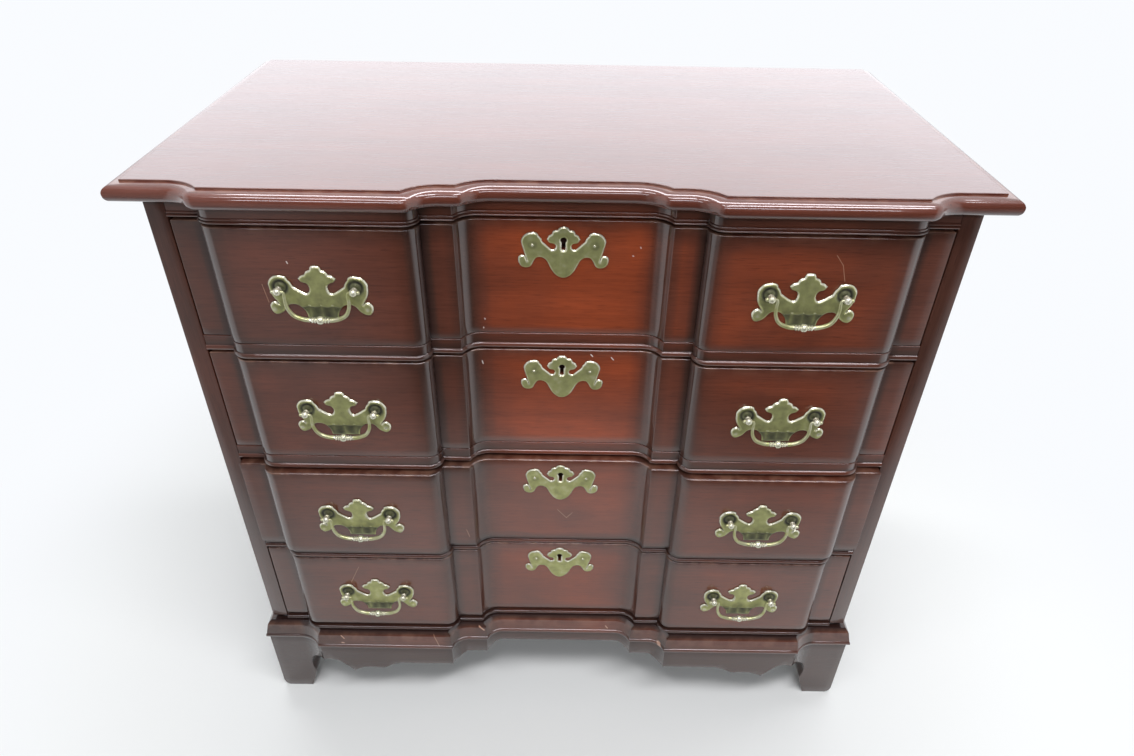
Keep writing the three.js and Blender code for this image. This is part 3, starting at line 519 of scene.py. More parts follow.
MAHOGANY_TONES = [
    (0.0, (0.016, 0.007, 0.006)), (0.35, (0.048, 0.020, 0.013)), (0.7, (0.118, 0.031, 0.015)),
    (1.0, (0.245, 0.046, 0.013)),
]
TOP_TONES = [
    (0.0, (0.040, 0.013, 0.010)), (0.5, (0.088, 0.022, 0.012)), (0.8, (0.115, 0.032, 0.018)),
    (1.0, (0.15, 0.034, 0.016)),
]
INSIDE_TONES = [(0.0, (0.36, 0.23, 0.12)), (1.0, (0.42, 0.28, 0.15))]
# Paler colours of rubbed edges; on mahogany the same colour also makes a painted highlight on upper arrises.
WORN_AND_HIGHLIGHT_MAHOGANY, WORN_INSIDE = (0.32, 0.17, 0.11), (0.5, 0.36, 0.2)
FRONT_DEPTHS, TOP_DEPTHS, INSIDE_DEPTHS = (0.12, 0.12, 0.30), (0.16, 0.10, 0.20), (0.16, 0.14, 0.25)
SCRATCH, CHIP, SPECK = (0.34, 0.18, 0.11), (0.42, 0.24, 0.16), (0.62, 0.55, 0.50)
FRONT_MARKS = [
    (-325.2, 150, -321, 145, 0.9, CHIP), (-325, 137.5, -322, 137, 0.9, CHIP),
    (-186.6, 153, -179, 133.5, 0.5, SCRATCH), (152, 134, 153, 128, 3.0, CHIP), (72, 141, 75, 137, 1.0, CHIP),
    (-120, 152, -113, 146, 1.2, CHIP), (-295.8, 260.5, -280.7, 293.3, 0.35, SCRATCH),
    (284.2, 784.3, 292.9, 773, 0.35, SCRATCH), (292.9, 773, 298.6, 754.3, 0.35, SCRATCH),
    (83.2, 774.1, 83.8, 772.9, 0.6, SPECK), (75.4, 763.8, 76.4, 763.2, 0.6, SPECK),
    (-89.2, 682, -88.8, 680.6, 0.55, SPECK), (-91.1, 670, -90.9, 668.7, 0.55, SPECK),
    (-3.5, 387, 8.7, 372, 0.35, SCRATCH), (8.7, 372, 16.6, 381.7, 0.35, SCRATCH),
    (-290.1, 767.2, -289.4, 764.9, 0.55, SPECK), (-321.4, 739.7, -318.3, 717.7, 0.3, SCRATCH),
    (-126.5, 362, -123, 348.3, 0.3, SCRATCH), (-95, 623.3, -94, 619.1, 0.6, SPECK),
    (34, 634.2, 36.3, 631.4, 0.7, SPECK), (58.3, 630.5, 61, 627, 0.6, SPECK),
]
mahogany_look = (MAHOGANY_TONES, WORN_AND_HIGHLIGHT_MAHOGANY, FRONT_DEPTHS, 0.42, 0.15, 1.0, 0.05, 1.7)
inside_look = (INSIDE_TONES, WORN_INSIDE, INSIDE_DEPTHS, 0.62, 0.5, 0.0, 0.5, 1.5)
mahogany = wood("mahogany", "X", *mahogany_look, marks=FRONT_MARKS)
upright_mahogany = wood("upright mahogany", "Z", *mahogany_look)
side_mahogany = wood("side mahogany", "Y", *mahogany_look)
top_mahogany = wood("top mahogany", "X", TOP_TONES, WORN_AND_HIGHLIGHT_MAHOGANY, TOP_DEPTHS, 0.30, 0.3, 1.0, 0.04, 1.62)
inside_wood = wood("inside wood", "X", *inside_look)
inside_wood_deep = wood("inside wood deep", "Y", *inside_look)
woods = (mahogany, upright_mahogany, side_mahogany, top_mahogany, inside_wood, inside_wood_deep)
print("woods:", [material.name for material in woods])

# %% [markdown]
# Aged brass is a metal, so almost all of its colour is in its reflection. The raised edges stay yellow and
# bright from rubbing, and their upper side is lighter still as a painted highlight. The flat fields turn
# olive.
# The ring round each post goes nearly black from tarnish and painted shade; the fluted tongue and the lower
# plate, under the bail, are darkened as painted shade, and the scrolls and the cusps of the tongue carry
# painted highlights. The brass pieces carry all that as "tone".

# %% Brass finish
BRASS_TONES = [
    (0.0, (0.026, 0.024, 0.022)), (0.35, (0.155, 0.16, 0.08)), (0.65, (0.39, 0.40, 0.165)),
    (1.0, (0.70, 0.69, 0.55)),
]
TARNISH_SCALE, TARNISH_DEPTH, CAST_SCALE, CAST_BUMP = 90.0, 0.12, 700.0, (0.12, 0.0002)
BRASS_ROUGHNESS, BRASS_METALLIC = (0.5, 0.24), 0.6  # from the hollows to the rubbed edges


def brass():
    material, tree, shader, place = new_material("aged brass")
    drift = mapped(tree, noise(tree, place, TARNISH_SCALE, 6.0), *NOISE_SPAN, -TARNISH_DEPTH, TARNISH_DEPTH)
    aged = math_node(tree, "ADD", attribute(tree, "tone"), drift, clamp=True)
    feed(tree, shader, {
        "Base Color": ramp(tree, aged, BRASS_TONES),
        "Roughness": mapped(tree, aged, 0.0, 1.0, *BRASS_ROUGHNESS),
        "Normal": bumped(tree, noise(tree, place, CAST_SCALE, 3.0), *CAST_BUMP),
        "Metallic": BRASS_METALLIC,
    })
    return material


aged_brass = brass()
print("metal:", aged_brass.name)

# %% [markdown]
# ## Lines that the front follows
#
# Seen from above, the front has a flat middle set back between two hollows, then a narrow flat on each side,
# a block with rounded ends, and an outer flat. The top and the base follow the same steps with wider hollows
# that end in a corner on the block. Writing both as a half line and mirroring it keeps the chest even.

# %% Front lines
CASE_HALF, CASE_DEPTH, CHEST_HEIGHT = 431.8, 462.0, 851.6
STILE_WIDTH, STILE_DEPTH, FIT_GAP = 21.2, 40.0, 0.3
OPENING_HALF = CASE_HALF - STILE_WIDTH
BLOCK_STEP, RECESS_STEP = 17.5, 15.5
BLOCK_OUTER, BLOCK_INNER, RECESS_CORNER, RECESS_FACE = 358.8, 167.0, 115.5, 92.0
MOULD_REACH, MOULD_BLOCK_OUTER, MOULD_BLOCK_INNER, MOULD_RECESS_CORNER = 10.8, 360.0, 160.5, 109.0
CORNER_EASE = 2.2


def front_line(half_width, end_ease=0.0):
    inner_foot, outer_foot = (BLOCK_INNER - BLOCK_STEP, 0), (BLOCK_OUTER + BLOCK_STEP, 0)
    recess = hollow((RECESS_FACE, RECESS_STEP), (RECESS_CORNER, 0))
    corner = eased(recess[-2], recess[-1], inner_foot, CORNER_EASE)
    half = flat_run((0, RECESS_STEP), recess[0]) + recess[:-1]
    half += corner[:-1] + flat_run(corner[-1], inner_foot)
    half += hollow((BLOCK_INNER, -BLOCK_STEP), inner_foot)[::-1]
    half = half[:-1] + flat_run((BLOCK_INNER, -BLOCK_STEP), (BLOCK_OUTER, -BLOCK_STEP))
    half += hollow((BLOCK_OUTER, -BLOCK_STEP), outer_foot)[:-1]
    end = eased(outer_foot, (half_width, 0), (half_width, 9), end_ease, 3)
    return both_halves(half + flat_run(outer_foot, end[0]) + end)


def mould_line(inner_hollow, outer_hollow, ease):
    front = -MOULD_REACH
    recess = hollow((MOULD_RECESS_CORNER - inner_hollow, front + RECESS_STEP), (MOULD_RECESS_CORNER, front))
    inner = hollow((MOULD_BLOCK_INNER - inner_hollow, front), (MOULD_BLOCK_INNER, front - BLOCK_STEP))
    outer = hollow((MOULD_BLOCK_OUTER + outer_hollow, front), (MOULD_BLOCK_OUTER, front - BLOCK_STEP))[::-1]
    end = (CASE_HALF + MOULD_REACH, front)
    first = eased(recess[-2], recess[-1], inner[0], ease)
    second = eased(inner[-2], inner[-1], outer[0], ease)
    third = eased(inner[-1], outer[0], outer[1], ease)
    half = flat_run((0, front + RECESS_STEP), recess[0]) + recess[:-1] + first + inner[:-1] + second[:-1]
    half += flat_run(second[-1], third[0]) + third + outer[1:-1] + flat_run(outer[-1], end) + [end]
    return both_halves(half)


def blocked_piece(half_width, back, profile, end_ease=0.0):
    """A piece with the blocked front and a flat back; profile pairs are how far forward, and how high."""
    line = np.array(front_line(half_width, end_ease))
    steps = outward_steps(line)
    fronts = [(line + steps * reach).tolist() for reach, _ in profile]
    backs = [[(x, back) for x in line[:, 0]]] * len(profile)
    return strip_solid(fronts, backs, [level for _, level in profile])


def moulded_piece(line, back, inner, profile):
    """A piece that follows the line of the top or the base, square or mitred at its ends."""
    line = np.array(line)
    steps = outward_steps(line, last=1)
    fronts, backs = [], []
    for reach, _ in profile:
        front = line + steps * (reach - MOULD_REACH)
        end = front[-1, 0] if inner is None else inner
        fronts.append(front.tolist())
        backs.append([(end * x / line[-1, 0], back) for x in line[:, 0]])
    return strip_solid(fronts, backs, [level for _, level in profile])


def bead(level, height, reach, recess=0.5, steps=8):
    """A round bead on a face that lies a little behind the stiles."""
    middle, half = level + height / 2, height / 2
    return [(-recess + (reach + recess) * math.sin(t), middle - half * math.cos(t)) for t in half_turn(steps)]


print("front line:", len(front_line(OPENING_HALF)), "points")

# %% [markdown]
# The toning follows the same line. Clear, red wood shows in the middle of each flat face, and the finish
# gets darker towards the rounded ends of the blocks, in the coves and along the top and bottom of a drawer.
# A table of places and tones across half the front is easier to read and to change than a formula. The right
# half gets a little painted light and the left half a little painted shade, and the lower drawers are plainer
# than the upper ones.

# %% Toning
TONE_PLACES = [0, 62, 82, 92, 104, 115, 119, 132, 146, 149, 160, 168, 180, 262, 344,
               356, 366, 376, 380, 394, 412]
TONE_VALUES = [1, .98, .93, .76, .4, .4, .62, .7, .55, .12, .38, .62, .7, .74, .7,
               .6, .38, .08, .52, .6, .52]
# The right value is painted light: it makes the right half lighter and the left half darker.
RIGHT_PAINTED_LIGHT, LOWER_FASTER = 0.06, 2.5


def smooth_step(value, low, high):
    share = np.clip((value - low) / (high - low), 0, 1)
    return share * share * (3 - 2 * share)


def bell(distance, width):
    """1 at a distance of zero, fading out over the width."""
    return np.exp(-(distance / width) ** 2)


def tone_across(x):
    """The table, with painted light that makes the right half a little lighter than the left."""
    return np.interp(np.abs(x), TONE_PLACES, TONE_VALUES) + RIGHT_PAINTED_LIGHT * np.clip(x / BLOCK_INNER, -1, 1)


def faded(level, low, high, margin=20.0, least=0.75):
    """Darker towards the upper edge, and only just at the lower one."""
    within = np.minimum(LOWER_FASTER * (level - low), high - level)
    return least + (1 - least) * smooth_step(within, 0, margin)


print("tone runs from", min(TONE_VALUES), "to", max(TONE_VALUES))

# %% [markdown]
# ## Top
#
# The top is one board whose edge is worked with a full nose below and a small step above. Its edge follows
# the blocks. A profile that is run along the line gives both, and the flat upper face stays truly flat, which
# matters most here, because polish shows every wave of a face in what it mirrors.

# %% Top
TOP_THICKNESS, TOP_OVERHANG, TOP_BACK_OVERHANG = 19.4, 24.6, 8.2
TOP_HOLLOW, TOP_EASE, TOP_ARRIS, STEP_SHARE = 37.0, 2.0, 0.5, 0.9
TOP_UNDERSIDE = CHEST_HEIGHT - TOP_THICKNESS
TOP_SLOPE = TOP_OVERHANG - MOULD_REACH
NOSE_SHARES = [(0.36, 0), (0.2, 0.06), (0.05, 0.22), (0, 0.46), (0.05, 0.62), (0.2, 0.76), (0.5, 0.86),
               (0.985, 0.895)]
NOSE_LEVELS = [TOP_UNDERSIDE + rise for rise in (3, 8, 15, 17)]
# The lowest level of the nose, which faces down, is darkened as painted shade.
NOSE_TONES_SHADED_BELOW = [0.2, 0.75, 0.8, 0.6]
TOP_TONE, TOP_WEAR = 0.7, 0.25


def top_profile():
    nose = [(TOP_OVERHANG - TOP_SLOPE * inset, TOP_UNDERSIDE + TOP_THICKNESS * rise)
            for inset, rise in through(NOSE_SHARES, 4)]
    step_foot = (MOULD_REACH, TOP_UNDERSIDE + TOP_THICKNESS * STEP_SHARE)
    edge = arc((MOULD_REACH - TOP_ARRIS, CHEST_HEIGHT - TOP_ARRIS), TOP_ARRIS, 0, 90, 3)
    inner_ring = (MOULD_REACH - 4 * TOP_ARRIS, CHEST_HEIGHT)  # keeps the shading of the flat face flat
    return nose + [step_foot] + edge + [inner_ring]


# The top is even on its face; its nose is darker low down, where it faces down, as painted shade.
def top_tone_and_nose_shade(p):
    return np.where(p[:, 2] > CHEST_HEIGHT - 1, TOP_TONE, np.interp(p[:, 2], NOSE_LEVELS, NOSE_TONES_SHADED_BELOW))


def arris_wear_and_highlight(level, drop, reach, wear_and_highlight):
    """A rule that lightens an arris a little below a level: rubbing, and on the base a painted highlight."""
    return lambda p: np.where(np.abs(p[:, 2] - level + drop) < reach, wear_and_highlight, 0.0)


def add_case_piece(name, node, part, finish, tone=0.0, wear_and_highlight=0.0, slot="mahogany"):
    return dress(add_piece(name, *part, finish, tone, wear_and_highlight), "carcase", slot, node)


top_line = mould_line(TOP_HOLLOW, TOP_HOLLOW, TOP_EASE)
top_part = moulded_piece(top_line, CASE_DEPTH + TOP_BACK_OVERHANG, None, top_profile())
top_wear = arris_wear_and_highlight(CHEST_HEIGHT, drop=1.5, reach=1.2, wear_and_highlight=TOP_WEAR)
top = add_case_piece("chest_top", "top", top_part, top_mahogany, top_tone_and_nose_shade, top_wear, "top_mahogany")
print("top:", len(top.data.polygons), "faces")

# %% [markdown]
# ## Case
#
# The case is plain joinery: two sides, two stiles, a thin back, dust boards and a bottom. Sawn boards still
# have eased arrises, and it is the eased arris that catches the light, so each board is a box with its edges
# bevelled rather than a bare box.

# %% Boards
FRIEZE_BOTTOM, DRAWER_PITCH, RAIL_HEIGHT, RAIL_DEPTH = 808.0, 164.675, 19.5, 70.0
CASE_BOTTOM, PLINTH_HEIGHT, PLINTH_RECESS = 156.8, 5.9, 5.0
PANEL_THICKNESS, BACK_THICKNESS, DUST_BOARD_THICKNESS = 19.0, 6.0, 12.0
SIDE_TONE, STILE_TONE, INSIDE_TONE = 0.5, 0.45, 0.3
CASE_TOP = TOP_UNDERSIDE - FIT_GAP
PLINTH_TOP = CASE_BOTTOM + PLINTH_HEIGHT
CASE_FLOOR = FRIEZE_BOTTOM - 4 * DRAWER_PITCH + RAIL_HEIGHT
INNER_HALF = CASE_HALF - PANEL_THICKNESS
back_half, back_front = INNER_HALF - FIT_GAP, CASE_DEPTH - BACK_THICKNESS


def span(sign, inner, outer):
    """From left to right, the part of one side between two distances from the centre line."""
    return sorted((sign * inner, sign * outer))


for side, sign in SIDES:
    low, high = span(sign, INNER_HALF, CASE_HALF)
    panel = board((low, STILE_DEPTH + FIT_GAP, PLINTH_TOP + FIT_GAP), (high, CASE_DEPTH, CASE_TOP))
    add_case_piece(f"case_side_{side}", f"side_panel_{side}", panel, upright_mahogany, SIDE_TONE)
    low, high = span(sign, OPENING_HALF, CASE_HALF)
    stile = board((low, 0, PLINTH_TOP + FIT_GAP), (high, STILE_DEPTH, CASE_TOP))
    add_case_piece(f"case_stile_{side}", f"stile_{side}", stile, upright_mahogany, STILE_TONE)
back = board((-back_half, back_front, CASE_FLOOR + FIT_GAP), (back_half, CASE_DEPTH, CASE_TOP))
add_case_piece("case_back", "back_panel", back, inside_wood, INSIDE_TONE, slot="inside_wood")
for n in DRAWERS[:3]:
    level = FRIEZE_BOTTOM - n * DRAWER_PITCH + RAIL_HEIGHT
    dust_board = board((-back_half, RAIL_DEPTH + FIT_GAP, level - DUST_BOARD_THICKNESS),
                       (back_half, back_front - FIT_GAP, level))
    add_case_piece(f"case_dust_board_{n}", f"dust_board_{n}", dust_board, inside_wood, INSIDE_TONE,
                   slot="inside_wood")

# %% [markdown]
# ## Rails
#
# Each rail follows the front line and is worked with beads: two small ones under the frieze, and a large one
# at the foot of each divider with a small one at its head. A bead is a half round, so its profile is an arc.
# The lowest rail is one piece with the floor behind it and the recessed strips that carry the sides.

# %% Rails
BEAD_HEIGHT, BEAD_REACH, SMALL_BEAD_HEIGHT, FACE_RECESS, BOTTOM_RAIL_RECESS = 6.6, 1.9, 3.2, 0.5, 4.0
# The bead value lightens the beads of every rail as a painted highlight.
RAIL_LEAST, RAIL_SHARE, RAIL_BEAD_HIGHLIGHT = 0.04, 0.45, 0.26
HEAD_BEAD_REACH, BEAD_MARGIN, FLOOR_ARRIS = 0.2, 0.1, 0.3
RAIL_HALF = OPENING_HALF - FIT_GAP
HEAD_BEAD = SMALL_BEAD_HEIGHT / 2


def rail_tone_and_bead_highlight(p):
    """Dark on the flat of a rail, lighter on its beads as a painted highlight, at the same levels above every
    drawer.
    """
    rise = (p[:, 2] - FRIEZE_BOTTOM) % DRAWER_PITCH
    foot = rise < BEAD_HEIGHT - BEAD_MARGIN
    head = np.abs(rise - RAIL_HEIGHT + HEAD_BEAD / 2) < HEAD_BEAD / 2 + BEAD_MARGIN
    return RAIL_SHARE * tone_across(p[:, 0]) + RAIL_LEAST + RAIL_BEAD_HIGHLIGHT * (foot | head)


def add_rail(name, node, profile, *parts):
    rail = blocked_piece(RAIL_HALF, RAIL_DEPTH, profile)
    return add_case_piece(name, node, joined(rail, *parts), mahogany, rail_tone_and_bead_highlight)


def bottom_boards():
    """The floor of the case, and the strips on both sides of it."""
    yield board((-back_half, RAIL_DEPTH, CASE_BOTTOM), (back_half, CASE_DEPTH, CASE_FLOOR), FLOOR_ARRIS)
    strips = ((RAIL_HALF, PLINTH_RECESS, RAIL_DEPTH), (back_half, RAIL_DEPTH, CASE_DEPTH))
    for _, sign in SIDES:
        for inner, front, back in strips:
            low, high = span(sign, inner, CASE_HALF - PLINTH_RECESS)
            yield board((low, front, CASE_BOTTOM), (high, back, PLINTH_TOP), FLOOR_ARRIS)


frieze_beads = bead(FRIEZE_BOTTOM, SMALL_BEAD_HEIGHT, BEAD_REACH)
frieze_beads += bead(FRIEZE_BOTTOM + SMALL_BEAD_HEIGHT, SMALL_BEAD_HEIGHT, BEAD_REACH / 2)[1:]
add_rail("frieze", "frieze_rail", frieze_beads + [(-FACE_RECESS, CASE_TOP)])
for n in DRAWERS[:3]:
    level = FRIEZE_BOTTOM - n * DRAWER_PITCH
    head = bead(level + RAIL_HEIGHT - HEAD_BEAD, HEAD_BEAD, HEAD_BEAD_REACH, steps=6)
    add_rail(f"divider_{n}", f"divider_rail_{n}", bead(level, BEAD_HEIGHT, BEAD_REACH) + head)
beaded = bead(CASE_BOTTOM, PLINTH_HEIGHT, BEAD_REACH)[:-1]
beaded += [(-BOTTOM_RAIL_RECESS, PLINTH_TOP), (-BOTTOM_RAIL_RECESS, CASE_FLOOR)]
bottom = add_rail("bottom", "bottom_board", beaded, *bottom_boards())
print("bottom board:", len(bottom.data.polygons), "faces")

# %% [markdown]
# ## Base
#
# The base is a moulding, mitred at the front corners, over bracket feet that are sawn from the same boards
# as the aprons between them. The moulding is a profile run along the line. The apron is easiest as a real
# joiner makes it: the blocked board first, then the scroll cut out of it, here with a boolean.

# %% Base moulding
MOULDING_HEIGHT, MOULDING_FACE_REACH, MOULDING_ARRIS_REACH, MOULDING_ARRIS_DROP = 30.4, 12.0, 8.4, 6.0
MOULDING_REACH, MOULDING_TOP_REACH, MOULDING_BEAD_HEIGHT, QUIRK = 13.5, 3.6, 7.6, 1.2
FOOT_REACH, BASE_THICKNESS, SIDE_BASE_THICKNESS = 9.8, 24.0, 10.0
BASE_INNER_HOLLOW, BASE_OUTER_HOLLOW, MOULDING_ARRIS_EASE = 24.0, 33.0, 1.6
MOULDING_TOP = CASE_BOTTOM - FIT_GAP
MOULDING_BOTTOM = MOULDING_TOP - MOULDING_HEIGHT
MOULDING_ARRIS = MOULDING_TOP - MOULDING_ARRIS_DROP
APRON_TOP = MOULDING_BOTTOM - FIT_GAP
# The ledge value darkens the top of the base moulding towards the case as painted shade.
BASE_LEAST, BASE_SHARE, LEDGE_SHADE, SIDE_BASE_TONE, MOULDING_WEAR_AND_HIGHLIGHT = 0.2, 0.5, 0.1, 0.35, 0.2
BASE_SPREAD = 0.98  # brings places on the base, which is a little wider, to those of the drawers
SIDE_PITCH = 30.0  # between the points of the side pieces, which are straight


def moulding_profile():
    head = MOULDING_BOTTOM + MOULDING_BEAD_HEIGHT
    side = MOULDING_REACH - QUIRK / 2
    round_bead = through([
        (MOULDING_REACH - 2 * QUIRK, MOULDING_BOTTOM), (side, MOULDING_BOTTOM + QUIRK),
        (MOULDING_REACH, MOULDING_BOTTOM + MOULDING_BEAD_HEIGHT / 2), (side, head - QUIRK),
        (MOULDING_FACE_REACH - QUIRK, head),
    ], 4)
    foot, ledge = (MOULDING_FACE_REACH, head + QUIRK / 2), (MOULDING_TOP_REACH, MOULDING_TOP)
    arris = eased(foot, (MOULDING_ARRIS_REACH, MOULDING_ARRIS), ledge, MOULDING_ARRIS_EASE)
    return round_bead + [foot] + arris + [ledge]


def side_moulding(profile):
    """The right side piece: along the case, mitred at the front."""
    outer_lines, inner_lines = [], []
    inner_x, inner_front = CASE_HALF - SIDE_BASE_THICKNESS, SIDE_BASE_THICKNESS + FIT_GAP
    for reach, _ in profile:
        end = (CASE_HALF + reach, CASE_DEPTH)
        outer = flat_run((CASE_HALF + reach, FIT_GAP - reach), end, SIDE_PITCH) + [end]
        last = len(outer) - 1
        run = CASE_DEPTH - SIDE_BASE_THICKNESS - FIT_GAP
        inner_lines.append([(inner_x, inner_front + run * i / last) for i in range(last + 1)])
        outer_lines.append(outer)
    return strip_solid(outer_lines, inner_lines, [level for _, level in profile])


def base_tone_and_ledge_shade(p):
    """Clear on the face, and darker up the ledge above it towards the case, as painted shade."""
    ledge = np.interp(p[:, 2], [MOULDING_ARRIS + 1, MOULDING_TOP], [1, LEDGE_SHADE])
    return (BASE_LEAST + BASE_SHARE * tone_across(p[:, 0] * BASE_SPREAD)) * ledge


def front_base(profile):
    return moulded_piece(base_line, BASE_THICKNESS, CASE_HALF - BASE_THICKNESS, profile)


base_line = mould_line(BASE_INNER_HOLLOW, BASE_OUTER_HOLLOW, 0)
moulding = moulding_profile()
# The moulding's arris is lightened by rubbing and by a painted highlight.
base_wear_and_highlight = arris_wear_and_highlight(MOULDING_TOP, MOULDING_ARRIS_DROP, reach=1.0, wear_and_highlight=MOULDING_WEAR_AND_HIGHLIGHT)
add_case_piece("moulding_front", "base_moulding_front", front_base(moulding), mahogany, base_tone_and_ledge_shade, base_wear_and_highlight)
side_part = side_moulding(moulding)
for side, part in (("right", side_part), ("left", mirrored(*side_part))):
    add_case_piece(f"moulding_{side}", f"base_moulding_{side}", part, side_mahogany, SIDE_BASE_TONE)
print("base line:", len(base_line), "points; moulding profile:", len(moulding), "points")

# %% Bracket feet and aprons
BRACKET_LENGTH, APRON_HEIGHT, APRON_ARRIS, SHARP_EDGE = 200.0, 86.5, 0.6, math.radians(50)
APRON_LEAST, APRON_SHARE, SIDE_APRON_TONE = 0.12, 0.3, 0.3
FOOT_CORNER = [(0, 0.14), (0.012, 0.05), (0.04, 0)]
FOOT_INNER = [(0.223, 0), (0.255, 0.22), (0.281, 0.43), (0.268, 0.62), (0.274, 0.78), (0.304, 0.92),
              (0.37, 1.01), (0.43, 1.085), (0.485, 1.085), (0.53, 1.03), (0.58, 0.91), (0.631, 0.765)]
LOBE_EDGE = [(0.631, 0.765), (0.67, 0.82), (0.73, 0.862), (0.8, 0.862), (0.86, 0.85), (0.93, 0.95), (1, 1)]
APRON_STEPS = [(154, 86.5), (147.5, 91), (141, 95.5), (111, 95.5), (102.5, 100), (94, 104.5)]
FOOT_OUTER = CASE_HALF + FOOT_REACH
APRON_LEVELS = [(FOOT_REACH, APRON_TOP * i / 8) for i in range(9)]
ABOVE = APRON_TOP + 20
FRONT_CUT, SIDE_CUT = (-60.0, 60.0), (380.0, 480.0)  # each passes right through its boards


def bracket_edge():
    """Lower edge of a foot and the apron beside it, from the outer corner inwards."""
    shares = through(FOOT_CORNER, 3) + through(FOOT_INNER, 4)[:-1] + through(LOBE_EDGE, 4)
    return [(along * BRACKET_LENGTH, height * APRON_HEIGHT) for along, height in shares]


def closed_above(edge):
    """The lower edge of an apron made into an outline, by way of a line above it and a little past it."""
    (start, low), (end, last) = edge[0], edge[-1]
    out = math.copysign(1, end - start)
    return [(start - out, ABOVE), (start - out, low), *edge, (end + out, last), (end + out, ABOVE)]


def apron_piece(name, plan, elevation, node, finish, tone):
    piece = add_piece(name, *plan, finish)
    cut(piece, elevation, "INTERSECT")
    arris = piece.modifiers.new("arris", "BEVEL")
    arris.width, arris.segments = APRON_ARRIS * MM, 2
    arris.limit_method, arris.angle_limit = "ANGLE", SHARP_EDGE
    apply_modifiers(piece)
    dress(finish_mesh(piece, tone), "carcase", "mahogany", node)


def apron_tone(p):
    return APRON_LEAST + APRON_SHARE * tone_across(p[:, 0] * BASE_SPREAD) * faded(p[:, 2], -10, APRON_TOP + 8)


front_half = [(FOOT_OUTER - along, height) for along, height in bracket_edge()] + APRON_STEPS
front_cut = prism(closed_above(front_half + flipped(front_half))[::-1], "Y", *FRONT_CUT)
apron_piece("apron", front_base(APRON_LEVELS), front_cut, "apron_front", mahogany, apron_tone)
front_foot = [(along - FOOT_REACH, height) for along, height in bracket_edge()]
rear_foot = [(CASE_DEPTH - along, height) for along, height in bracket_edge()]
right = side_moulding(APRON_LEVELS), prism(closed_above(front_foot + rear_foot[::-1]), "X", *SIDE_CUT)
for side, parts in (("right", right), ("left", [mirrored(*part) for part in right])):
    apron_piece(f"apron_side_{side}", *parts, f"apron_{side}", side_mahogany, SIDE_APRON_TONE)
print("bracket edge:", len(bracket_edge()), "points")

# %% [markdown]
# ## Drawers
#
# A drawer front is one thick board, shaped to the front line, with its upper and lower arris rounded. Its
# ends have sockets for the dovetails of the sides, and the keyhole goes into it behind the escutcheon. Both
# are cut once and the finished front is copied for the four drawers. The third drawer stands a little open.

# %% Drawer fronts
OPENING_HEIGHT = DRAWER_PITCH - RAIL_HEIGHT
DRAWER_SIDE_GAP, DRAWER_TOP_GAP, DRAWER_BOTTOM_GAP, DRAWER_RUN_GAP = 1.2, 3.4, 0.8, 0.3
FRONT_HEIGHT = OPENING_HEIGHT - DRAWER_TOP_GAP - DRAWER_BOTTOM_GAP
FRONT_HALF = OPENING_HALF - DRAWER_SIDE_GAP
FRONT_BACK, LOWER_ARRIS, UPPER_ARRIS, END_ARRIS, KEYHOLE_PLAY = 34.0, 0.9, 1.8, 1.2, 0.4
SIDE_THICKNESS, SIDE_HEIGHT, TAIL_COUNT, TAIL_LENGTH, TAIL_FLARE, TAIL_GAP = 12.0, 119.975, 4, 13.0, 2.4, 0.3
SIDE_FOOT = DRAWER_RUN_GAP - DRAWER_BOTTOM_GAP
ESCUTCHEON_DROP, KEYHOLE_RADIUS, KEYHOLE_SLOT, KEYHOLE_LENGTH, KEYHOLE_RISE = 29.0, 3.3, 4.6, 14.0, 5.6
KEYHOLE_DEPTH, KEYHOLE_START = 14, 5
DRAWER_OPEN = {1: 0.0, 2: 0.0, 3: 9.0, 4: 0.0}
DRAWER_TONES = {1: (0.0, 1.0), 2: (0.08, 0.87), 3: (0.26, 0.58), 4: (0.3, 0.5)}  # lower drawers are plainer
# The upper arris of a drawer front is lightened by rubbing and by a painted highlight, the left end by
# rubbing.
FRONT_BACK_TONE, UPPER_WEAR_AND_HIGHLIGHT, UPPER_WEAR_AND_HIGHLIGHT_DROP, UPPER_WEAR_AND_HIGHLIGHT_REACH, LEFT_WEAR = 0.3, 0.45, 0.6, 0.9, 0.9


def drawer_foot(n):
    return FRIEZE_BOTTOM - (n - 1) * DRAWER_PITCH - OPENING_HEIGHT + DRAWER_BOTTOM_GAP


def front_profile():
    levels = np.linspace(LOWER_ARRIS, FRONT_HEIGHT - UPPER_ARRIS, 15)[1:-1]
    return (arc((-LOWER_ARRIS, LOWER_ARRIS), LOWER_ARRIS, -90, 0, 3) + [(0, z) for z in levels]
            + arc((-UPPER_ARRIS, FRONT_HEIGHT - UPPER_ARRIS), UPPER_ARRIS, 0, 90, 4))


def keyhole(grow=0.0, steps=20):
    """Outline of the keyhole around the escutcheon's pins, anticlockwise from the front."""
    radius, slot = KEYHOLE_RADIUS + grow, KEYHOLE_SLOT / 2 + grow
    start = math.asin(slot / radius) - math.pi / 2
    turns = [start + (2 * math.pi - 2 * math.asin(slot / radius)) * i / steps for i in range(steps + 1)]
    low = KEYHOLE_RISE + KEYHOLE_RADIUS - KEYHOLE_LENGTH - grow
    made = [(radius * math.cos(t), KEYHOLE_RISE + radius * math.sin(t)) for t in turns]
    return made + [(-slot, low), (0, low - slot / 2), (slot, low)]


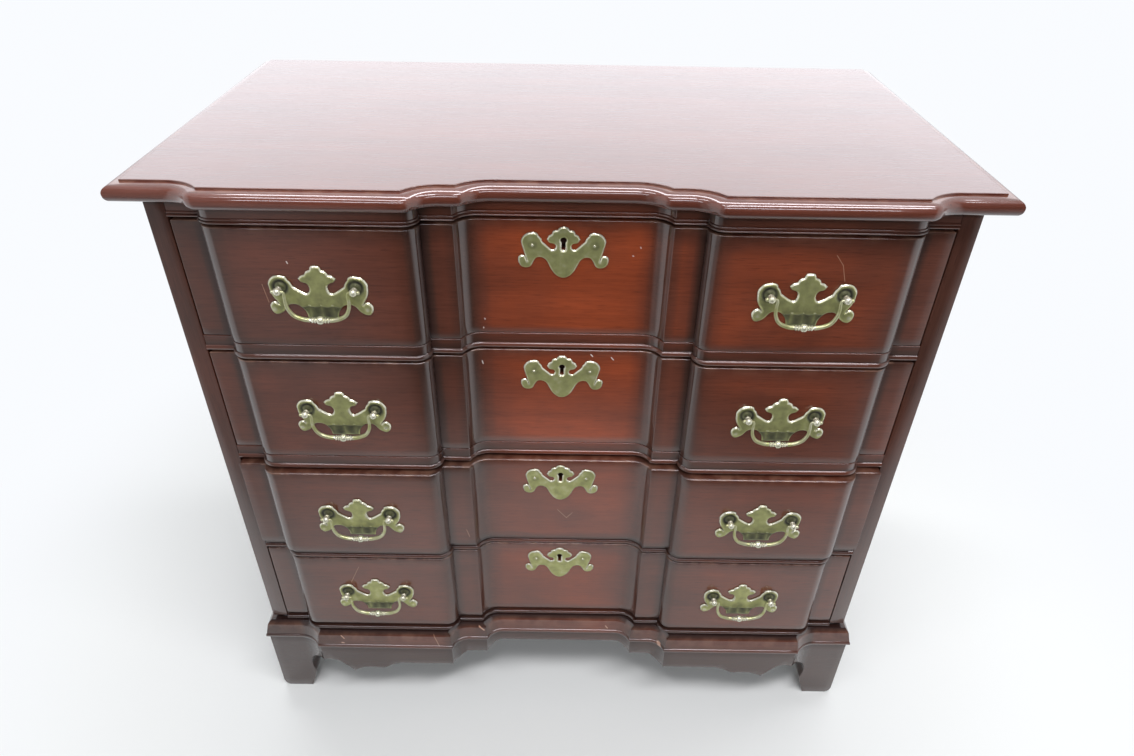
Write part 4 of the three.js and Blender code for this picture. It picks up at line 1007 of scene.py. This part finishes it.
def sockets():
    """Solids a little larger than the dovetails of both sides, to cut out of the front's ends."""
    pitch, root, tip = SIDE_HEIGHT / TAIL_COUNT, FRONT_BACK + 1, FRONT_BACK - TAIL_LENGTH - TAIL_GAP
    reach = SIDE_THICKNESS + TAIL_GAP
    parts = []
    for n in range(TAIL_COUNT):
        low = SIDE_FOOT + pitch * n + pitch / 4 - TAIL_GAP
        high = SIDE_FOOT + pitch * (n + 1) - pitch / 4 + TAIL_GAP
        tail = [(tip, low - TAIL_FLARE), (root, low), (root, high), (tip, high + TAIL_FLARE)]
        for end in (FRONT_HALF, -FRONT_HALF):
            parts.append(prism(tail, "X", end - reach, end + reach))
    return joined(*parts)


def front_tone(p, foot, n):
    """Clear in the middle of each face, dark at its ends, and paler again where the faces are narrow."""
    least, share = DRAWER_TONES[n]
    tone = (least + share * tone_across(p[:, 0])) * faded(p[:, 2], foot, foot + FRONT_HEIGHT)
    return np.where(p[:, 1] > RECESS_STEP + 6, FRONT_BACK_TONE, tone)


def front_wear_and_highlight(p, foot):
    """Rubbing and a painted highlight on the upper arris, and much rubbing on the left end."""
    upper = bell(p[:, 2] - foot - FRONT_HEIGHT + UPPER_WEAR_AND_HIGHLIGHT_DROP, UPPER_WEAR_AND_HIGHLIGHT_REACH)
    left = LEFT_WEAR * (p[:, 0] < 0.4 - FRONT_HALF)
    return np.where(p[:, 1] < RECESS_STEP + 3, np.maximum(UPPER_WEAR_AND_HIGHLIGHT * upper, left * (p[:, 1] < 1)), 0.0)


def make_fronts():
    front = blocked_piece(FRONT_HALF, FRONT_BACK, front_profile(), END_ARRIS)
    first = add_piece("drawer_front_1", *front, mahogany)
    cut(first, sockets(), "DIFFERENCE")
    pins = FRONT_HEIGHT - ESCUTCHEON_DROP
    hole = [(x, z + pins) for x, z in keyhole(KEYHOLE_PLAY)]
    cut(first, prism(hole, "Y", RECESS_STEP - KEYHOLE_START, RECESS_STEP + KEYHOLE_DEPTH), "DIFFERENCE")
    pieces = [first] + [new_object(f"drawer_front_{n}", first.data.copy()) for n in DRAWERS[1:]]
    for n, piece in zip(DRAWERS, pieces):
        foot, out = drawer_foot(n), np.array([0, DRAWER_OPEN[n], 0])
        piece.data.transform(Matrix.Translation((0, -DRAWER_OPEN[n] * MM, foot * MM)))
        finish_mesh(piece, lambda p: front_tone(p + out, foot, n), lambda p: front_wear_and_highlight(p + out, foot))
        dress(piece, f"drawer_{n}", "mahogany", f"drawer_{n}_front")
    return len(first.data.polygons)


print("drawer front:", make_fronts(), "faces, four times")

# %% [markdown]
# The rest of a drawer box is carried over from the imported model: its sides have their dovetails and grooves
# already. It only needs the plain wood finish, with the grain along the side and across the back and bottom.

# %% Drawer boxes
for n in DRAWERS:
    for part, finish in (("side_left", inside_wood_deep), ("side_right", inside_wood_deep),
                         ("back", inside_wood), ("bottom", inside_wood)):
        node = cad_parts[f"drawer_{n}_{part}"]
        node.data.materials.clear()
        node.data.materials.append(finish)
print("drawer boxes: 4 with 4 boards each")

# %% [markdown]
# ## Cast brass plates
#
# A plate is a flat casting with a filed, sloping edge, small scallops on its crest and ears, and on the pulls
# a ring sunk round each post and a dished tongue. The outline is drawn once for the right half. Inside it, a
# net of points is spread, closer at the edge, and each point is raised by a rule that says how thick the
# plate is there. That gives real relief that other light will find too.

# %% Plate outlines
PULL_WIDTH, ESCUTCHEON_WIDTH, POST_SHARE, PIN_SHARE = 116.0, 99.0, 0.693, 0.677
PULL_STROKES = [
    [(0, .428), (.06, .41), (.134, .331), (.253, .229), (.345, .169)],
    [(.345, .169), (.3, .098), (.21, .064), (.171, -.001), (.18, -.091), (.229, -.141), (.31, -.111),
     (.47, .002)],
    [(.47, .002), (.53, .109), (.58, .189), (.67, .226)],
    [(.67, .226), (.79, .199), (.881, .114), (.924, .009), (.88, -.171), (.785, -.366)],
    [(.785, -.366), (.83, -.326), (.9, -.331), (.962, -.411), (.94, -.531), (.86, -.595), (.733, -.541),
     (.647, -.431), (.59, -.386), (.517, -.374), (.42, -.401), (.324, -.507), (.293, -.601)],
    [(.293, -.601), (.284, -.671)],
]
ESCUTCHEON_STROKES = [
    [(0, .44), (.176, .34), (.242, .292), (.364, .138)],
    [(.364, .138), (.303, .053), (.21, .03), (.172, -.02), (.19, -.085), (.259, -.105), (.35, -.03),
     (.465, .081)],
    [(.465, .081), (.558, .242), (.646, .3)],
    [(.646, .3), (.79, .262), (.9, .15), (.929, .04), (.87, -.12), (.802, -.384)],
    [(.802, -.384), (.84, -.28), (.909, -.25), (.985, -.29), (.998, -.38), (.96, -.48), (.885, -.54),
     (.78, -.545), (.71, -.5), (.65, -.38), (.592, -.308), (.505, -.292), (.42, -.325), (.36, -.392),
     (.279, -.562)],
    [(.279, -.562), (.228, -.648), (.15, -.733), (.06, -.786), (0, -.792)],
]
SCALLOPS = {0: (3, 1.45), 2: (2, 0.8), 3: (2, 1.1)}  # stroke: how many, and how far they stand out
SAME_PLACE, NET_SPACING, NET_RINGS = 0.05, 1.3, (0.4, 0.9, 1.5, 2.1)
PROBE = np.array([0, 0.05])


def aside(along):
    """Steps one unit long, at right angles to some directions."""
    along = along / np.linalg.norm(along, axis=1)[:, None]
    return np.stack([-along[:, 1], along[:, 0]], axis=1)


def scalloped(line, count, reach):
    """The line with a row of round scallops, which fade out at its ends."""
    run = np.concatenate([[0], np.cumsum(np.linalg.norm(np.diff(line, axis=0), axis=1))])
    even = np.linspace(0, run[-1], 8 * count + 1)
    line = np.stack([np.interp(even, run, line[:, i]) for i in (0, 1)], axis=1)
    share = even / even[-1]
    ends = np.clip(12 * np.minimum(share, 1 - share), 0, 1)
    bump = reach * (np.abs(np.sin(np.pi * count * share)) - 0.5) * ends
    return line + aside(np.gradient(line, axis=0)) * bump[:, None]


def plate_outline(width, strokes):
    right = []
    for number, stroke in enumerate(strokes):
        line = np.array(through(stroke, 5)) * width / 2
        if number in SCALLOPS:
            line = scalloped(line, *SCALLOPS[number])
        right += line.tolist() if number == len(strokes) - 1 else line[:-1].tolist()
    whole = right + flipped(right)
    return [p for i, p in enumerate(whole) if math.dist(p, whole[i - 1]) > SAME_PLACE][::-1]


def inside(places, start, end):
    """If each place lies inside the edges of a plate; a place in its hole doesn't."""
    x, z = places[:, :1], places[:, 1:]
    crosses = (start[:, 1] > z) != (end[:, 1] > z)
    rise = np.where(end[:, 1] == start[:, 1], 1e-9, end[:, 1] - start[:, 1])
    where = start[:, 0] + (z - start[:, 1]) * (end[:, 0] - start[:, 0]) / rise
    return ((crosses & (x < where)).sum(axis=1) % 2) == 1


def depth_within(places, start, end):
    """How deep each place lies within a plate; less than zero past its edge or in its hole."""
    run = end - start
    share = ((places[:, None, :] - start) * run).sum(axis=2) / (run ** 2).sum(axis=1)
    nearest = start + run * np.clip(share, 0, 1)[:, :, None]
    far = np.linalg.norm(places[:, None, :] - nearest, axis=2).min(axis=1)
    return np.where(inside(places, start, end), far, -far)


def net_seeds(loops, edges):
    """Points of the net in a plate: rows along its edges, and an even grid further in."""
    low, high = np.min(loops[0], axis=0), np.max(loops[0], axis=0)
    columns, rows = np.arange(low[0], high[0], NET_SPACING), np.arange(low[1], high[1], NET_SPACING)
    grid = np.stack(np.meshgrid(columns, rows), axis=-1).reshape(-1, 2)
    candidates = [(grid, NET_RINGS[-1] + 0.35, math.inf)]
    for loop in loops:
        line = np.array(loop)
        inward = aside(np.roll(line, -1, axis=0) - np.roll(line, 1, axis=0))
        candidates += [(line + inward * ring, ring * 0.9, ring * 1.1) for ring in NET_RINGS]
    kept = []
    for places, least, most in candidates:
        deep = depth_within(places, *edges)
        kept.append(places[(deep >= least) & (deep <= most)])
    return np.concatenate(kept)


def relief_plate(outline, thickness, *holes):
    """A plate raised by a rule, which is given places, their distances to the edge and if that lies below."""
    loops = [outline, *holes]
    edges = np.concatenate(loops), np.concatenate([np.roll(loop, -1, axis=0) for loop in loops])
    seeds = [Vector(p) for loop in loops for p in loop] + [Vector(p) for p in net_seeds(loops, edges)]
    borders, start = [], 0
    for loop in loops:
        borders += [(start + i, start + (i + 1) % len(loop)) for i in range(len(loop))]
        start += len(loop)
    flat, _, triangles, *_ = delaunay_2d_cdt(seeds, borders, [], 1, 1e-5)
    flat = np.array([tuple(p) for p in flat])
    keep = inside(flat[np.array(triangles)].mean(axis=1), *edges)
    triangles = [tuple(t) for t, good in zip(triangles, keep) if good]
    rise = depth_within(flat + PROBE, *edges) - depth_within(flat - PROBE, *edges)
    height, tone = thickness(flat, np.abs(depth_within(flat, *edges)), np.clip(rise / (2 * PROBE[1]), 0, 1))
    count = len(flat)
    points = [(x, -FIT_GAP - h, z) for (x, z), h in zip(flat, height)] + [(x, -FIT_GAP, z) for x, z in flat]
    faces = triangles + [(c + count, b + count, a + count) for a, b, c in triangles]
    used = dict.fromkeys(edge for a, b, c in triangles for edge in ((a, b), (b, c), (c, a)))
    faces += [(b, a, a + count, b + count) for a, b in used if (b, a) not in used]
    return points, faces, np.concatenate([tone, np.zeros(count)])


print("pull outline:", len(plate_outline(PULL_WIDTH, PULL_STROKES)), "points")

# %% [markdown]
# Posts, knuckles and pins are turned parts, so each is a profile spun round its axis.

# %% Turned parts
PLATE_THICKNESS, ESCUTCHEON_THICKNESS, PIVOT_REACH, KNUCKLE_RADIUS = 2.8, 2.2, 13.5, 4.4
PULL_SLOPE, ESCUTCHEON_SLOPE, LEAST_THICKNESS, NECK_END = 2.3, 1.9, 0.5, 10.2
POST_PLACE = PULL_WIDTH / 2 * POST_SHARE
PIN_PLACE = ESCUTCHEON_WIDTH / 2 * PIN_SHARE
RING_RADIUS, RING_WIDTH, RING_DEPTH = 6.9, 2.2, 1.2
SCROLL_PLACE, SCROLL_WIDTH, SCROLL_RISE = (50, -27), 2.8, 0.7
TONGUE_LEVEL, TONGUE_HALF, TONGUE_DEPTH, TONGUE_WAVE, WAVE_HALF = -22.5, 24, 1.5, 1.6, 19.0
# The second span here is where the lower plate, under the bail, is darkened as painted shade.
TONGUE_EDGE, LOWER_SHADE_SPAN, DISH_SLOPE = (-0.2, 1.4), (12, 24), 2.5
CUSP_RISE, CUSP_WIDTH, CUSP_HALF = 0.5, 0.8, 18
PIN_RING_RADIUS, PIN_RING_WIDTH, PIN_RING_DEPTH = 3.6, 1.8, 0.2
# The rub values lighten a plate near its edges by rubbing, and the upper edges more, as a painted highlight.
EDGE_SHARE, SLOPE_ROUND, RUB_AND_HIGHLIGHT_REACH, RUB_AND_HIGHLIGHT_TONE, HIGHLIGHT_LOST_BELOW = 0.3, 1.7, 1.35, 0.4, 0.42
# The scroll and cusp values are painted highlights.
FIELD_TONE, ESCUTCHEON_SHINE, SCROLL_HIGHLIGHT, CUSP_HIGHLIGHT = 0.6, 0.04, 0.25, 0.5
# The first four values are painted shade: the ring round each post, with its tarnish, the tongue, its flutes
# and the lower plate.
RING_TARNISH_AND_SHADE, TONGUE_SHADE, FLUTE_SHADE, LOWER_SHADE, PIN_RING_DUSK = 0.95, 0.05, 0.25, 0.12, 0.14
NECK_LENGTH, NECK_TONE, KNUCKLE_TONE = 8, 0.25, 0.95
NECK = [(0.1, 1.0), (5.2, 1.0), (5.2, 2.4), (4.4, 2.9), (3.0, 3.4), (2.6, 5.0), (3.0, 7.4), (3.5, 8.4)]


def turned(profile, place, sides=24):
    """A profile of radius and distance forward, spun round its axis."""
    points = []
    for radius, along in profile:
        for s in range(sides):
            angle = 2 * math.pi * s / sides
            local = (radius * math.cos(angle), -along, radius * math.sin(angle))
            points.append(tuple(a + b for a, b in zip(local, place)))
    last = (len(profile) - 1) * sides
    ends = [tuple(reversed(range(sides))), tuple(range(last, last + sides))]
    return points, ring_faces(len(profile), sides) + ends


def bevelled(far, below, width, thickness):
    """Thickness and tone of a casting with a wide filed slope, its upper edges lighter by rubbing and painted
    highlight.
    """
    share = np.clip(far / width, 0, 1)
    rubbed_and_highlight = np.clip(RUB_AND_HIGHLIGHT_REACH - far / width * RUB_AND_HIGHLIGHT_REACH, 0, 1) * (RUB_AND_HIGHLIGHT_TONE - HIGHLIGHT_LOST_BELOW * below)
    slope = EDGE_SHARE + (1 - EDGE_SHARE) * (1 - (1 - share) ** SLOPE_ROUND)
    return thickness * slope, FIELD_TONE + rubbed_and_highlight


def pull_relief(places, far, below):
    """A pull's plate: a sloping edge, a sunk ring round each post, scrolls and the dished, waved tongue."""
    height, tone = bevelled(far, below, PULL_SLOPE, PLATE_THICKNESS)
    across, up = np.abs(places[:, 0]), places[:, 1]
    ring = bell(np.hypot(across - POST_PLACE, up) - RING_RADIUS, RING_WIDTH)
    scroll = bell(np.hypot(across - SCROLL_PLACE[0], up - SCROLL_PLACE[1]), SCROLL_WIDTH)
    wave = np.abs(np.sin(places[:, 0] / WAVE_HALF * 1.5 * np.pi))
    edge = TONGUE_LEVEL - TONGUE_WAVE * wave
    tongue = smooth_step(edge - up, *TONGUE_EDGE) * (across < TONGUE_HALF)
    # The lower plate, under the bail, is marked for painted shade.
    lower_shade = smooth_step(-up, *LOWER_SHADE_SPAN) * (across < TONGUE_HALF)
    # The cusps along the tongue's edge are marked for painted highlights.
    cusp_highlight = bell(up - edge - CUSP_RISE, CUSP_WIDTH) * (wave < 0.3) * (across < CUSP_HALF)
    dish = TONGUE_DEPTH * tongue * np.clip(far / DISH_SLOPE, 0, 1)
    height = height - RING_DEPTH * ring - dish + SCROLL_RISE * scroll
    # Painted shade on the ring round each post, with its tarnish, on the fluted tongue and on the lower
    # plate.
    tone = tone * (1 - RING_TARNISH_AND_SHADE * ring) - (TONGUE_SHADE + FLUTE_SHADE * wave) * tongue - LOWER_SHADE * lower_shade
    # Painted highlights on the scrolls and on the cusps.
    tone = tone + SCROLL_HIGHLIGHT * scroll + CUSP_HIGHLIGHT * cusp_highlight
    return np.maximum(height, LEAST_THICKNESS), np.clip(tone, 0, 1)


def escutcheon_relief(places, far, below):
    height, tone = bevelled(far, below, ESCUTCHEON_SLOPE, ESCUTCHEON_THICKNESS)
    ring = bell(np.hypot(np.abs(places[:, 0]) - PIN_PLACE, places[:, 1]) - PIN_RING_RADIUS, PIN_RING_WIDTH)
    return height - PIN_RING_DEPTH * ring, np.clip(tone + ESCUTCHEON_SHINE - PIN_RING_DUSK * ring, 0, 1)


def ball(radius, centre):
    return [(max(radius * math.sin(t), 0.05), centre - radius * math.cos(t)) for t in half_turn(12)]


post = NECK + [p for p in ball(KNUCKLE_RADIUS, PIVOT_REACH) if p[1] > NECK_END]
posts = joined(*[turned(post, (x, 0, 0)) for x in (-POST_PLACE, POST_PLACE)])
post_tone = [NECK_TONE if p[1] > -NECK_LENGTH else KNUCKLE_TONE for p in posts[0]]
pull_points, pull_faces, pull_tone = relief_plate(plate_outline(PULL_WIDTH, PULL_STROKES), pull_relief)
escutcheon_outline = plate_outline(ESCUTCHEON_WIDTH, ESCUTCHEON_STROKES)
escutcheon = relief_plate(escutcheon_outline, escutcheon_relief, keyhole()[::-1])
print("pull plate:", len(pull_faces), "faces; escutcheon:", len(escutcheon[1]), "faces")

# %% Place the plates
PULL_OFFSET, PULL_RISE = 261.4, 4.3


def place_brass(name, part, tones, place, n, node):
    points = [tuple(a + b for a, b in zip(point, place)) for point in part[0]]
    dress(add_piece(name, points, part[1], aged_brass, tones), f"drawer_{n}", "aged_brass", node)


def pull_place(n, sign):
    """Where the middle of a pull's plate lies on the front of its drawer."""
    return sign * PULL_OFFSET, -BLOCK_STEP - DRAWER_OPEN[n], drawer_foot(n) + FRONT_HEIGHT / 2 + PULL_RISE


def escutcheon_place(n):
    return 0, RECESS_STEP - DRAWER_OPEN[n], drawer_foot(n) + FRONT_HEIGHT - ESCUTCHEON_DROP


whole_pull = joined((pull_points, pull_faces), posts)
for n in DRAWERS:
    for side, sign in SIDES:
        place_brass(f"pull_plate_{n}_{side}", whole_pull, [*pull_tone, *post_tone], pull_place(n, sign), n,
                    f"drawer_{n}_pull_plate_{side}")
    place_brass(f"escutcheon_{n}", escutcheon[:2], escutcheon[2], escutcheon_place(n), n,
                f"drawer_{n}_escutcheon")
print("plates placed on", len(DRAWERS), "drawers")

# %% [markdown]
# ## Bails
#
# A bail is one bar whose thickness changes along its course: thin pins through the knuckles, a bow that
# swells towards the middle, and turned beads there. That is a curve with a radius at each point, so a small
# Geometry Nodes tree sweeps a circle along it, and the radius sets the circle's size.

# %% Trees
def hand_out(tree, made, shape, metal):
    """Makes the instances of a tree real, gives them their metal and hands them out."""
    whole = add_node(tree, "GeometryNodeRealizeInstances", {"Geometry": shape})
    coated = add_node(tree, "GeometryNodeSetMaterial", {"Geometry": whole.outputs[0], "Material": metal})
    feed(tree, made, {0: coated.outputs[0]})
    return tree


def bar_tree():
    inputs = {"Geometry": "Geometry", "Sides": "Int", "Metal": "Material"}
    tree, given, made = new_tree("swept bar", inputs, {"Geometry": "Geometry"}, "GeometryNodeTree")
    circle = add_node(tree, "GeometryNodeCurvePrimitiveCircle", {"Resolution": given["Sides"], "Radius": 1.0})
    radius = tree.nodes.new("GeometryNodeInputRadius").outputs[0]
    sweep = add_node(tree, "GeometryNodeCurveToMesh", {
        "Curve": given["Geometry"], "Profile Curve": circle.outputs["Curve"], "Scale": radius,
        "Fill Caps": True,
    })
    return hand_out(tree, made, sweep.outputs["Mesh"], given["Metal"])


def pin_tree():
    """One dome on every point of a mesh."""
    inputs = {"Geometry": "Geometry", "Radius": "Float", "Rise": "Float", "Metal": "Material"}
    tree, given, made = new_tree("domed pins", inputs, {"Geometry": "Geometry"}, "GeometryNodeTree")
    inputs = {"Segments": 14, "Rings": 10, "Radius": given["Radius"]}
    dome = add_node(tree, "GeometryNodeMeshUVSphere", inputs)
    flat = add_node(tree, "ShaderNodeCombineXYZ", {"X": 1.0, "Y": given["Rise"], "Z": 1.0})
    on_pins = add_node(tree, "GeometryNodeInstanceOnPoints", {
        "Points": given["Geometry"], "Instance": dome.outputs["Mesh"], "Scale": flat.outputs[0],
    })
    return hand_out(tree, made, on_pins.outputs[0], given["Metal"])


def run_tree(piece, tree, **values):
    """Gives a tree its inputs by identifier, evaluates it and returns the plain mesh that it makes."""
    modifier = piece.modifiers.new(tree.name, "NODES")
    modifier.node_group = tree
    for item in tree.interface.items_tree:
        if item.in_out == "INPUT" and item.name in values:
            modifier[item.identifier] = values[item.name]
    mesh = evaluated(piece)
    piece.modifiers.remove(modifier)
    return mesh


swept_bar, domed_pins = bar_tree(), pin_tree()
print("trees:", swept_bar.name, "and", domed_pins.name)

# %% Bails
PIN_END, PIN_END_RADIUS, PIN_RADIUS, PIN_SPAN = 47.4, 2.3, 1.7, (42.6, 37.0)
BAIL_HALF_WIDTH, BAIL_DROP, BOW_RADIUS, BOW_SWELL, BAIL_SIDES = 33.6, 34.4, 1.55, 1.05, 20
BOW = [(1.03, 0.0), (1.0, 0.1), (1.01, 0.35), (0.97, 0.6), (0.82, 0.84), (0.55, 0.965), (0.3, 1.0)]
BEADS = [(11, 2.7), (10, 2.0), (9.3, 2.9), (8.4, 3.3), (7.6, 2.6), (7, 2.1), (6.4, 2.9), (5.6, 3.5),
         (4.8, 2.8), (4.2, 2.2), (3.6, 3.0), (2.5, 4.1), (1.1, 4.6)]
BAIL_TONE, BEAD_SHINE = 0.74, 0.22


def bail_course():
    """Points of the right half of a bail with their radii, from the pin's end to the middle."""
    pin = [((PIN_END - PIN_END_RADIUS + PIN_END_RADIUS * math.cos(t), 0.0),
            max(PIN_END_RADIUS * math.sin(t), 0.1)) for t in np.linspace(0, math.pi * 0.72, 8)]
    bow = through([(BAIL_HALF_WIDTH * x, -BAIL_DROP * z) for x, z in BOW], 6)
    swell = [(place, BOW_RADIUS + BOW_SWELL * i / len(bow)) for i, place in enumerate(bow[1:])]
    beads = [((x, -BAIL_DROP), radius) for x, radius in BEADS]
    return pin + [((x, 0.0), PIN_RADIUS) for x in PIN_SPAN] + swell + beads


def bail_mesh():
    half = bail_course()
    whole = half + [((-x, z), radius) for (x, z), radius in reversed(half)]
    curve = bpy.data.curves.new("bail course", "CURVE")
    curve.dimensions = "3D"
    spline = curve.splines.new("POLY")
    spline.points.add(len(whole) - 1)
    for point, ((x, z), radius) in zip(spline.points, whole):
        point.co, point.radius = (x * MM, 0, z * MM, 1), radius * MM
    course = new_object("bail course", curve)
    mesh = run_tree(course, swept_bar, Sides=BAIL_SIDES, Metal=aged_brass)
    bpy.data.objects.remove(course)
    return mesh


pattern = bail_mesh()
for n in DRAWERS:
    for side, sign in SIDES:
        piece = new_object(f"bail_{n}_{side}_bar", pattern.copy())
        x, _, z = pull_place(n, sign)
        piece.data.transform(Matrix.Translation(in_frame(x, -BLOCK_STEP - PIVOT_REACH - DRAWER_OPEN[n], z)))
        finish_mesh(piece, lambda p: BAIL_TONE + BEAD_SHINE * (np.abs(p[:, 0] - x) < BEADS[0][0]))
        dress(piece, f"bail_{n}_{side}", "aged_brass", f"drawer_{n}_bail_{side}")
print("bail:", len(pattern.polygons), "faces, eight times")

# %% [markdown]
# Each escutcheon is held by two small domed pins. They repeat, so the second tree puts one dome on every
# point of a mesh that holds only the pins' places.

# %% Escutcheon pins
PIN_HEAD_RADIUS, PIN_HEAD_RISE, PIN_TONE = 1.7, 0.75, 0.95
PIN_SEAT = 0.8  # how high in the plate's thickness the middle of a dome lies
for n in DRAWERS:
    _, face, level = escutcheon_place(n)
    face = face - FIT_GAP - PIN_SEAT * ESCUTCHEON_THICKNESS
    spots = bpy.data.meshes.new("pin places")
    spots.from_pydata([in_frame(sign * PIN_PLACE, face, level) for _, sign in SIDES], [], [])
    holder = new_object(f"escutcheon_pins_{n}", spots)
    values = {"Radius": PIN_HEAD_RADIUS * MM, "Rise": PIN_HEAD_RISE, "Metal": aged_brass}
    holder.data = run_tree(holder, domed_pins, **values)
    finish_mesh(holder, PIN_TONE)
    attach(holder, f"drawer_{n}")
print("pins: 2 on each of 4 escutcheons")

# %% [markdown]
# ## Floor and light
#
# The chest stands on a plain pale floor, which fades into a white background. Five soft lamps light it: one
# in front and above, a small one to the left and a low one that fill its shadows, and a strip and a wide lamp
# behind, which put a sheen on the polished top. Polished wood and brass mirror the world, so glossy rays see
# it pale behind, at the sides and overhead, and darker in front.

# %% Floor
FLOOR_REACH, FLOOR_COLOUR, BACKGROUND = 6.0, (0.77, 0.80, 0.76), (0.95, 0.97, 1.0)
SEEN_SPAN = (0.69, 1.19)  # the floor fades into the background between these distances
MIRRORED_SPAN = (0.35, 1.15)  # the polished front mirrors the floor between these distances
# Each pale side begins and is full at two places from 0, ahead, to 1, sideways; the near one is only dim.
LEFT_NEAR, LEFT_FAR, RIGHT_FAR = (0.24, 0.5, 0.0, 0.36), (0.58, 0.86), (0.5, 0.88)


def between(tree, value, low, high, least=0.0, most=1.0):
    return mapped(tree, value, low, high, least, most, "SMOOTHSTEP")


def pale_sides(tree, sideways):
    """How pale the mirrored world is towards its sides: a little from near, and all of it further round."""
    left = math_node(tree, "MULTIPLY", sideways, -1.0)
    far = math_node(tree, "MAXIMUM", between(tree, left, *LEFT_FAR), between(tree, sideways, *RIGHT_FAR))
    return math_node(tree, "MAXIMUM", between(tree, left, *LEFT_NEAR), far)


def add_floor():
    material, tree, shader, place = new_material("pale floor")
    distance = vector_node(tree, "LENGTH", {0: place}, "Value")
    path = tree.nodes.new("ShaderNodeLightPath").outputs
    fades = [math_node(tree, "MULTIPLY", between(tree, distance, *reach), path[ray])
             for reach, ray in ((SEEN_SPAN, "Is Camera Ray"), (MIRRORED_SPAN, "Is Glossy Ray"))]
    sideways = add_node(tree, "ShaderNodeSeparateXYZ", {0: place}).outputs["X"]
    mirrored_white = pale_sides(tree, math_node(tree, "DIVIDE", sideways, distance))
    shown = mix_value(tree, path["Is Camera Ray"], mirrored_white, 1.0)
    feed(tree, shader, {"Base Color": FLOOR_COLOUR, "Roughness": 0.8})
    white = add_node(tree, "ShaderNodeEmission", {"Color": BACKGROUND, "Strength": shown})
    share = math_node(tree, "MAXIMUM", *fades)
    blend = add_node(tree, "ShaderNodeMixShader", {0: share, 1: shader.outputs[0], 2: white.outputs[0]})
    feed(tree, tree.nodes["Material Output"], {"Surface": blend.outputs[0]})
    disc = bmesh.new()
    bmesh.ops.create_circle(disc, cap_ends=True, segments=96, radius=FLOOR_REACH)
    mesh = bpy.data.meshes.new("floor")
    disc.to_mesh(mesh)
    disc.free()
    mesh.materials.append(material)
    new_object("floor", mesh)


add_floor()
print("floor laid")

# %% Light
WORLD_STRENGTH, FRONT_SHINE = 0.25, 0.03
BEHIND, ABOVE_SPAN = (-0.3, 0.35), (0.6, 0.9, 0.05, 0.65)
LILAC, COOL = (0.97, 0.94, 1.0), (0.92, 0.91, 1.0)
LAMPS = {  # place, target, size, watts and colour
    "front softbox": ((0.6, -1.15, 2.9), (0.1, -0.2, 0.4), (1.9, 0.4), 46, LILAC),
    "left strip": ((-0.85, -1.15, 2.9), (-0.1, -0.2, 0.4), (1.0, 0.25), 14, LILAC),
    "low strip": ((0, -2.7, 2.2), (0, -0.2, 0.5), (3.0, 0.22), 28, COOL),
    "back strip": ((0.1, 0.5, 3.1), (0, -0.1, 0.3), (3.0, 0.4), 56, LILAC),
    "rear softbox": ((0, 2.6, 1.75), (0, 0, 0.9), (5.4, 1.6), 26, (0.93, 0.93, 1.0)),
}


def add_world():
    world = bpy.data.worlds.new("studio")
    world.use_nodes = True
    tree = world.node_tree
    path = tree.nodes.new("ShaderNodeLightPath").outputs
    direction = tree.nodes.new("ShaderNodeTexCoord").outputs["Generated"]
    parts = add_node(tree, "ShaderNodeSeparateXYZ", {0: direction}).outputs
    behind = between(tree, parts["Y"], *BEHIND)
    above = between(tree, parts["Z"], *ABOVE_SPAN)
    pale = math_node(tree, "MAXIMUM", math_node(tree, "MAXIMUM", behind, pale_sides(tree, parts["X"])), above)
    shine = between(tree, pale, 0.0, 1.0, FRONT_SHINE, 1.0)
    glossy = mix_value(tree, path["Is Glossy Ray"], WORLD_STRENGTH, shine)
    shown = mix_value(tree, path["Is Camera Ray"], glossy, 1.0)
    feed(tree, tree.nodes["Background"], {"Strength": shown, "Color": BACKGROUND})
    bpy.context.scene.world = world


def add_softbox(name, place, target, size, watts, colour):
    data = bpy.data.lights.new(name, "AREA")
    data.shape, data.size, data.size_y, data.energy, data.color = "RECTANGLE", *size, watts, colour
    lamp = new_object(name, data)
    lamp.location = place
    lamp.rotation_mode = "QUATERNION"
    lamp.rotation_quaternion = (Vector(target) - Vector(place)).to_track_quat("-Z", "Y")
    lamp.visible_camera = False


add_world()
for name, settings in LAMPS.items():
    add_softbox(name, *settings)
bpy.context.scene.view_settings.view_transform = "Standard"
